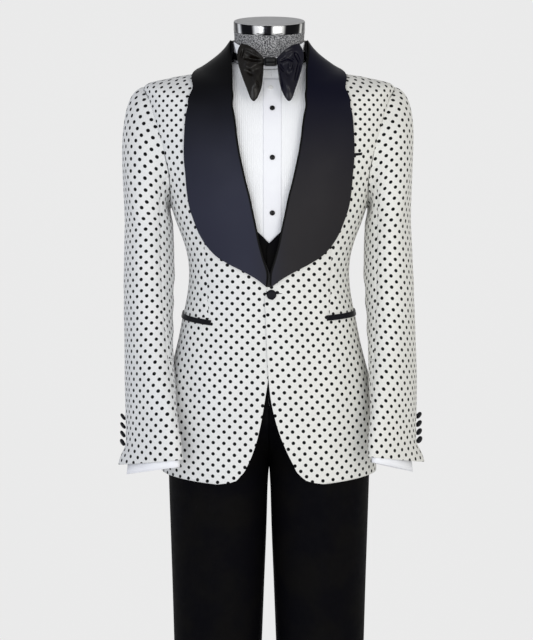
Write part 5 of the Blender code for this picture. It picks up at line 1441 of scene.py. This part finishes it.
# the band's and the cap's outlines in mm: out from the cap's radius, up the leaning axis
BAND_OUTLINE = ((-0.4, 0.0), (0.0, 0.4), (0.0, 5.0), (0.0, 11.0), (0.0, 15.6), (-0.4, 16.0))
CAP_OUTLINE = ((-0.8, 16.3), (-0.6, 16.5), (-0.7, 16.9), (-1.6, 17.4), (-3.0, 17.9),
               (-6.0, 18.0))


def tilted_ring(radius, rise):
    """A ring round the leaning neck, a set rise along its axis."""
    angles = once_round(NECK_POINTS)
    x, forward = radius * np.sin(angles), -radius * np.cos(angles)
    cos_tilt, sin_tilt = math.cos(CAP_TILT), math.sin(CAP_TILT)
    y = NECK_TOP[1] + forward * cos_tilt - rise * sin_tilt
    z = NECK_TOP[2] + forward * sin_tilt + rise * cos_tilt
    return np.stack((NECK_TOP[0] + x, y, z), axis=-1)


def form_neck_ring(front, back):
    """A ring of the form's neck that rises from front to back."""
    turns = once_round(NECK_POINTS)
    share = (1 - np.cos(turns)) / 2
    return round_neck(NECK_RADIUS, turns, front + (back - front) * share)


def build_form():
    """A limbless torso with a neck, its band and its cap."""
    turns = once_round(NECK_POINTS)
    rings = []
    for share, level in FORM_FOOT:
        ring = layer(FOOT_RING, turns, FOOT_INSET)
        ring[:, 2] = level
        ring[:, :2] *= share
        rings.append(ring)
    for level in FORM_LEVELS:
        inset = FORM_INSET + 0.0060 * (1 - float(fade(level, 1.00, 1.08)))
        rings.append(layer(level, turns, inset))
    rings += [form_neck_ring(*ends) for ends in FORM_NECK]
    rings += [tilted_ring(NECK_RADIUS + 1.0 * MM, -8.0 * MM),
              tilted_ring(NECK_RADIUS + 1.8 * MM, -0.3 * MM)]
    revolve("form_torso", rings, LINEN)
    for name, slot, outline, material in (("neck_band", "polished_band", BAND_OUTLINE, CHROME),
                                          ("neck_cap", "cap_grey", CAP_OUTLINE, CAP)):
        revolve(name, [tilted_ring(CAP_RADIUS + out * MM, rise * MM)
                             for out, rise in outline], material)


def build_stand():
    """A flat base with softened corners and two upright rods."""
    half_x, half_y, height = PLATE
    outline = []
    for angle in np.radians(np.arange(0, 360, 3.0)):
        cx = math.copysign(half_x - PLATE_CORNER, math.cos(angle + 1e-6))
        cy = math.copysign(half_y - PLATE_CORNER, math.sin(angle + 1e-6))
        outline.append((cx + PLATE_CORNER * math.cos(angle),
                        cy + PLATE_CORNER * math.sin(angle)))
    profile = ((0.998, 0.0), (1.0, 0.0006), (1.0, height - 0.0024), (0.9985, height - 0.0012),
               (0.994, height - 0.0003), (0.988, height))
    revolve("stand_base", [[(x * share, y * share, z) for x, y in outline]
                                          for share, z in profile], PAINT)
    low = height + 0.0003
    profile = ((0.96, low), (1.0, low + 0.0006), (1.0, 0.20), (1.0, 0.45), (1.0, 0.70),
               (1.0, ROD_TOP - 0.0008), (0.95, ROD_TOP))
    for side, out in SIDES:
        rings = [[(ROD_X * out + ROD_RADIUS * r * math.cos(a),
                   ROD_Y + ROD_RADIUS * r * math.sin(a), z) for a in once_round(48)]
                 for r, z in profile]
        revolve("stand_rod_" + side, rings, STEEL)


# ---------------------------------------------------------------- materials

class Nodes:
    """A short way to write the node tree of a material or of the world."""

    def __init__(self, owner):
        self.owner = owner
        owner.use_nodes = True
        self.tree = owner.node_tree
        self.shader = self.tree.nodes.get("Principled BSDF")

    def add(self, kind, operation=None, inputs=(), **settings):
        """A node with its inputs given as values or as sockets."""
        node = self.tree.nodes.new("ShaderNode" + kind)
        if operation:
            node.operation = operation
        for key, value in settings.items():
            setattr(node, key, value)
        for place, value in (inputs.items() if isinstance(inputs, dict) else enumerate(inputs)):
            if isinstance(value, bpy.types.NodeSocket):
                self.tree.links.new(value, node.inputs[place])
            else:
                node.inputs[place].default_value = value
        return node

    def math(self, operation, *values):
        """Arithmetic on values or sockets."""
        return self.add("Math", operation, values).outputs[0]

    def vector(self, operation, *values):
        """Arithmetic on vectors, or the length of one."""
        node = self.add("VectorMath", operation, values)
        return node.outputs["Value" if operation == "LENGTH" else "Vector"]

    def ramp(self, value, low, high, at_low=0.0, at_high=1.0):
        """A smooth change of a value from one range to another."""
        node = self.add("MapRange", inputs=(value, low, high, at_low, at_high),
                        interpolation_type="SMOOTHSTEP")
        return node.outputs[0]

    def mix(self, factor, first, second):
        """A colour between two colours."""
        first, second = (value if isinstance(value, bpy.types.NodeSocket) else (*value, 1.0)
                         for value in (first, second))
        return self.add("Mix", inputs={0: factor, 6: first, 7: second},
                        data_type="RGBA").outputs[2]

    def noise(self, place, scale, detail=3.0):
        """Noise from 0 to 1."""
        return self.add("TexNoise", inputs={"Vector": place, "Scale": scale,
                                            "Detail": detail}).outputs["Fac"]

    def place(self):
        """Where a point is, in the object's own space."""
        return self.add("TexCoord").outputs["Object"]

    def parts(self, vector):
        """The x, y and z of a vector."""
        return self.add("SeparateXYZ", inputs=(vector,)).outputs

    def patches(self, place, scale, low=0.0, high=1.0, detail=3.0):
        """A value that wanders softly between two ends."""
        return self.ramp(self.noise(place, scale, detail), 0.3, 0.7, low, high)

    def finish(self, color, roughness, bump=None, depth=None, **sockets):
        """Colour, roughness and bump onto the shader, and its plain values."""
        self.tree.links.new(color, self.shader.inputs["Base Color"])
        self.tree.links.new(roughness, self.shader.inputs["Roughness"])
        if bump is not None:
            node = self.add("Bump", inputs={"Height": bump, "Distance": depth})
            self.tree.links.new(node.outputs[0], self.shader.inputs["Normal"])
        for name, value in sockets.items():
            self.shader.inputs[name.replace("_", " ")].default_value = value
        return self.owner


DOT_CELL = (18.7 * MM, 19.6 * MM)
DOT_RADIUS, DOT_EDGE = 3.1 * MM, 0.35 * MM
DOT_BLACK, SLUB_GREY = (0.002, 0.002, 0.003), (0.62, 0.62, 0.61)
# painted light on the ground cloth: a cooler, darker tint on the wearer's right side and a
# warmer, lighter one on the left
IVORY_PAINTED_COOL_SHADE = (0.790, 0.800, 0.815), (0.825, 0.830, 0.835)
IVORY_PAINTED_WARM_LIGHT = (0.820, 0.815, 0.775), (0.850, 0.845, 0.810)
BUTTONHOLE = (0.0150, 1.1468)  # x and z of its middle, on the over front


def dotted_cloth():
    """Ivory cloth with staggered black dots, a worked buttonhole and painted light that is cooler
    on the wearer's right and warmer on the left.
    """
    n = Nodes(bpy.data.materials.new("dotted_cloth"))
    uv = n.add("UVMap").outputs[0]
    wobble = n.add("TexNoise", inputs={"Vector": uv, "Scale": 900.0, "Detail": 1.0})
    shift = n.vector("MULTIPLY", n.vector("SUBTRACT", wobble.outputs["Color"], (0.5,) * 3),
                     (0.0006,) * 3)
    place = n.vector("ADD", uv, shift)
    reach = []
    for offset in ((0.0, 0.0, 0.0), (DOT_CELL[0] / 2, DOT_CELL[1] / 2, 0.0)):
        cell = n.vector("DIVIDE", n.vector("ADD", place, offset), (*DOT_CELL, 1.0))
        local = n.vector("SUBTRACT", n.vector("FRACTION", cell), (0.5, 0.5, 0.0))
        reach.append(n.vector("LENGTH", n.vector("MULTIPLY", local, (*DOT_CELL, 0.0))))
    dot = n.ramp(n.math("MINIMUM", *reach), DOT_RADIUS - DOT_EDGE, DOT_RADIUS + DOT_EDGE, 1, 0)
    tone = n.patches(uv, 14.0, detail=2.0)
    # painted light: the cloth turns from its cool, darker tint on the wearer's right to its warm,
    # lighter one on the left
    cloth = n.mix(n.ramp(n.parts(n.place())[0], -0.16, 0.16), n.mix(tone, *IVORY_PAINTED_COOL_SHADE),
                  n.mix(tone, *IVORY_PAINTED_WARM_LIGHT))
    slub = n.noise(n.vector("MULTIPLY", uv, (1.0, 0.4, 1.0)), 750.0, 2.0)
    cloth = n.mix(n.ramp(slub, 0.35, 0.75, 0.0, 0.42), cloth, SLUB_GREY)
    color = n.mix(dot, cloth, DOT_BLACK)
    off = n.vector("SUBTRACT", n.place(), (BUTTONHOLE[0], -0.12, BUTTONHOLE[1]))
    off = n.vector("LENGTH", n.vector("MULTIPLY", off, (0.13, 0.013, 1.0)))
    color = n.mix(n.ramp(off, 0.7 * MM, 1.1 * MM, 0.95, 0.0), color, (0.004, 0.004, 0.005))
    return n.finish(color, n.patches(uv, 60.0, 0.58, 0.70), n.noise(uv, 1400.0, 2.0),
                    0.15 * MM, Specular_IOR_Level=0.10)


def plain_cloth(name, first, second, rough, grain=1200.0, depth=0.12 * MM, speckle=None,
                **sockets):
    """One colour with uneven tone and a fine grain, in the object's own space."""
    n = Nodes(bpy.data.materials.new(name))
    place = n.place()
    color = n.mix(n.patches(place, 18.0), first, second)
    fine = n.noise(place, grain, 2.0)
    if speckle:
        color = n.mix(n.ramp(fine, 0.42, 0.60), color, speckle)
    roughness = n.patches(place, 80.0, rough - 0.04, rough + 0.04)
    return n.finish(color, roughness, fine, depth, **sockets)


PAINTED_SHEEN_TO_SHADE = (1.30, 1.57)  # the painted sheen low down turns into painted shade near the neck over these heights


def satin(name, low, high, rough, fold_shade_width=None, left_painted_light=None, **sockets):
    """Black satin with a painted sheen low down that turns into painted shade near the neck, and
    a fine rib along the cloth.

    A width given for the fold paints a shade along the collar's fold; the tones given for the
    wearer's left side are its own painted sheen and shade, where the light falls on it
    differently.
    """
    n = Nodes(bpy.data.materials.new(name))
    place = n.place()
    x, _, height = n.parts(place)
    uv = n.add("UVMap").outputs[0]
    # painted sheen low down that turns into painted shade near the neck, a little uneven in
    # height
    rise = n.math("ADD", height, n.math("MULTIPLY", n.noise(place, 9.0, 2.0), 0.06))
    rise = n.ramp(rise, *PAINTED_SHEEN_TO_SHADE)
    color = n.mix(rise, low, high)
    # painted light: the wearer's left side takes its own painted sheen and shade tones
    if left_painted_light:
        color = n.mix(n.ramp(x, -0.04, 0.04), color, n.mix(rise, *left_painted_light))
    # painted shade: a near-black strip along the collar's fold
    if fold_shade_width:
        edge = n.ramp(n.parts(uv)[0], 0.6 * fold_shade_width, fold_shade_width, 1.0, 0.0)
        color = n.mix(edge, color, (0.002,) * 3)
    rib = n.noise(n.vector("MULTIPLY", uv, (1.0, 0.12, 1.0)), 1500.0, 2.0)
    roughness = n.patches(place, 30.0, rough - 0.04, rough + 0.05)
    return n.finish(color, roughness, rib, 0.05 * MM, **sockets)


CHROME_BANDS = ((-170, -150), (-121, -113), (-100, -92), (-63, -55), (-27, -11), (6, 26),
                (61, 67), (98, 112), (138, 143), (158, 176))  # bright bands, in degrees


def pale_floor():
    """A matt floor that runs out into the studio's own tone."""
    n = Nodes(bpy.data.materials.new("floor"))
    place = n.place()
    color = n.mix(n.noise(place, 3.0), (0.79, 0.79, 0.79), (0.82, 0.82, 0.82))
    away = n.vector("LENGTH", place)
    n.tree.links.new(n.ramp(away, 0.9, 2.05, 1.0, 0.0), n.shader.inputs["Alpha"])
    return n.finish(color, n.patches(place, 20.0, 0.75, 0.85), Specular_IOR_Level=0.2)


def chrome():
    """A polished strip whose dark studio reflections are kept as soft upright bands."""
    n = Nodes(bpy.data.materials.new("chrome"))
    place = n.place()
    x, y, _ = n.parts(place)
    angle = n.math("ARCTAN2", x, n.math("MULTIPLY", y, -1.0))
    bright = 0.0
    for first, last in CHROME_BANDS:
        middle, half = math.radians((first + last) / 2), math.radians((last - first) / 2)
        off = n.math("ABSOLUTE", n.math("SUBTRACT", angle, middle))
        bright = n.math("MAXIMUM", bright, n.ramp(off, half - 0.07, half + 0.07, 1.0, 0.0))
    color = n.mix(bright, (0.012, 0.012, 0.014), (1.0, 1.0, 1.0))
    return n.finish(color, n.patches(place, 300.0, 0.10, 0.18), n.noise(place, 900.0),
                    0.01 * MM, Metallic=1.0)


# ---------------------------------------------------------------- light and camera

LIGHT_AIM, LIGHT_SIZE = (0, 0, 1.15), (1.6, 2.0)
CAMERA_AT, CAMERA_DROP = (-0.0044, -3.6, 1.35), 0.256  # it looks this far down by the object


def area_light(name, place, power, color):
    """A soft box that looks at the chest."""
    data = bpy.data.lights.new(name, "AREA")
    data.shape, data.size, data.size_y = "RECTANGLE", *LIGHT_SIZE
    data.energy, data.color = power, color
    made = bpy.data.objects.new(name, data)
    made.location = place
    away = Vector(LIGHT_AIM) - Vector(place)
    made.rotation_euler = away.to_track_quat("-Z", "Y").to_euler()
    bpy.context.scene.collection.objects.link(made)


# brightness of the studio's walls, seen from the object
WALLS = {"front": (0.98, 0.98, 0.98), "back": (0.83, 0.83, 0.83),
         "right_hand": (0.52, 0.54, 0.585), "left_hand": (0.575, 0.57, 0.54),
         "ceiling": (0.34, 0.34, 0.35), "ground": (0.80, 0.80, 0.80)}
CORNER = 0.3  # how far opposite walls run into each other


def build_walls():
    """A world of six soft walls that run into each other."""
    world = bpy.data.worlds.new("studio")
    bpy.context.scene.world = world
    n = Nodes(world)
    x, y, z = n.parts(n.add("TexCoord").outputs["Generated"])
    side, depth, height = (n.mix(n.ramp(along, -CORNER, CORNER), WALLS[first], WALLS[second])
                           for along, first, second in ((x, "right_hand", "left_hand"),
                                                        (y, "front", "back"),
                                                        (z, "ground", "ceiling")))
    tall = n.math("MULTIPLY", z, z)
    level = n.math("MAXIMUM", n.math("SUBTRACT", 1.0, tall), 0.001)
    wide = n.math("DIVIDE", n.math("MULTIPLY", x, x), level)
    color = n.mix(tall, n.mix(wide, depth, side), height)
    n.tree.links.new(color, n.tree.nodes["Background"].inputs[0])


def build_studio():
    """Pale floor, even light and the camera."""
    scene = bpy.context.scene
    scene.view_settings.view_transform = "Standard"
    build_walls()
    area_light("key", (-1.3, -3.8, 1.35), 27.0, (0.90, 0.95, 1.0))
    area_light("fill", (1.7, -3.6, 1.25), 25.0, (1.0, 0.975, 0.90))
    mesh = bpy.data.meshes.new("floor")
    body = bmesh.new()
    bmesh.ops.create_circle(body, cap_ends=True, segments=96, radius=2.1)
    body.to_mesh(mesh)
    body.free()
    floor = bpy.data.objects.new("floor", mesh)
    floor.location = (0, 0, -0.2 * MM)
    mesh.materials.append(FLOOR)
    scene.collection.objects.link(floor)
    data = bpy.data.cameras.new("camera")
    data.sensor_fit, data.sensor_width, data.lens = "HORIZONTAL", 36.0, 139.3
    camera = bpy.data.objects.new("camera", data)
    camera.location = CAMERA_AT
    camera.rotation_euler = (math.radians(90) - math.atan2(CAMERA_DROP, -CAMERA_AT[1]), 0, 0)
    scene.collection.objects.link(camera)
    scene.camera = camera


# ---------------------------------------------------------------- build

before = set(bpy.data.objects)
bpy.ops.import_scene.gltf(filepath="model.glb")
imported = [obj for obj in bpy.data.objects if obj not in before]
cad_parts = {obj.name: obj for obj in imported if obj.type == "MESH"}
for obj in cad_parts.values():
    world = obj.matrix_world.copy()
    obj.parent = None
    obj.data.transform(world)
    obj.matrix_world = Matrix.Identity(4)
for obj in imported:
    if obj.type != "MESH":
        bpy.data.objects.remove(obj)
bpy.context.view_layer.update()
LOOKS = bpy.data.collections.new("looks")
bpy.context.scene.collection.children.link(LOOKS)

DOTTED = dotted_cloth()
# the collar's satin: painted sheen low down and painted shade near the neck, in other tones on
# the wearer's left side, with a painted shade along the fold
LAPEL = satin("lapel_satin", (0.0265, 0.0280, 0.0465), (0.0012, 0.0012, 0.0016), 0.47, 4.5 * MM,
              left_painted_light=((0.0225, 0.0210, 0.0235), (0.0024, 0.0027, 0.0115)),
              Specular_IOR_Level=0.085)
# the trim and the bow take a faint, bluer painted sheen low down in the same way
TRIM = satin("trim_satin", (0.004, 0.004, 0.007), (0.003, 0.003, 0.005), 0.38,
             Specular_IOR_Level=0.13)
BOW = satin("bow_satin", (0.004, 0.004, 0.006), (0.004, 0.004, 0.005), 0.30,
            Specular_IOR_Level=0.20)
# two copies of the bow's satin with painted light: a warm, brownish sheen for the wearer's right
# wing and a cool, navy one for the left
BOW_PAINTED_WARM_LIGHT = satin("bow_satin_painted_warm_light", (0.0068, 0.0050, 0.0038), (0.0048, 0.0036, 0.0028), 0.24,
                 Specular_IOR_Level=0.24)
BOW_PAINTED_COOL_LIGHT = satin("bow_satin_painted_cool_light", (0.0040, 0.0034, 0.0120), (0.0030, 0.0026, 0.0090), 0.24,
                 Specular_IOR_Level=0.24)
LINING = plain_cloth("lining_satin", (0.006, 0.006, 0.008), (0.010, 0.010, 0.013), 0.38,
                     Specular_IOR_Level=0.25)
WOOL = plain_cloth("black_wool", (0.0014, 0.0013, 0.0026), (0.0032, 0.0029, 0.0030), 0.72,
                   Specular_IOR_Level=0.055)
SHIRTING = plain_cloth("shirting", (0.925, 0.935, 0.965), (0.95, 0.96, 0.985), 0.75,
                       Specular_IOR_Level=0.2)
COTTON = plain_cloth("white_cotton", (0.90, 0.905, 0.96), (0.93, 0.94, 0.98), 0.75,
                     Specular_IOR_Level=0.2)
JET = plain_cloth("stud_jet", (0.002, 0.002, 0.003), (0.004, 0.004, 0.005), 0.14,
                  depth=0.02 * MM, Specular_IOR_Level=0.22)
PEARL = plain_cloth("button_pearl", (0.74, 0.74, 0.74), (0.84, 0.84, 0.84), 0.3,
                    depth=0.03 * MM)
LINEN = plain_cloth("grey_linen", (0.055, 0.055, 0.060), (0.075, 0.075, 0.080), 0.9, 560.0,
                    0.3 * MM, (0.43, 0.43, 0.44), Specular_IOR_Level=0.15)
CHROME = chrome()
CAP = plain_cloth("cap_grey", (0.42, 0.42, 0.425), (0.45, 0.45, 0.455), 0.55, depth=0.03 * MM)
PAINT = plain_cloth("stand_paint", (0.20, 0.20, 0.21), (0.23, 0.23, 0.24), 0.45,
                    depth=0.04 * MM)
STEEL = plain_cloth("stand_steel", (0.50, 0.50, 0.52), (0.58, 0.58, 0.60), 0.35,
                    depth=0.03 * MM, Metallic=1.0)
FLOOR = pale_floor()

build_studio()
build_jacket_body()
build_sleeves()
build_shawl()
build_jacket_trim()
build_vest()
build_shirt_body()
build_shirt_collar()
build_shirt_sleeves()
build_studs()
build_bow_tie()
build_trousers()
build_form()
build_stand()
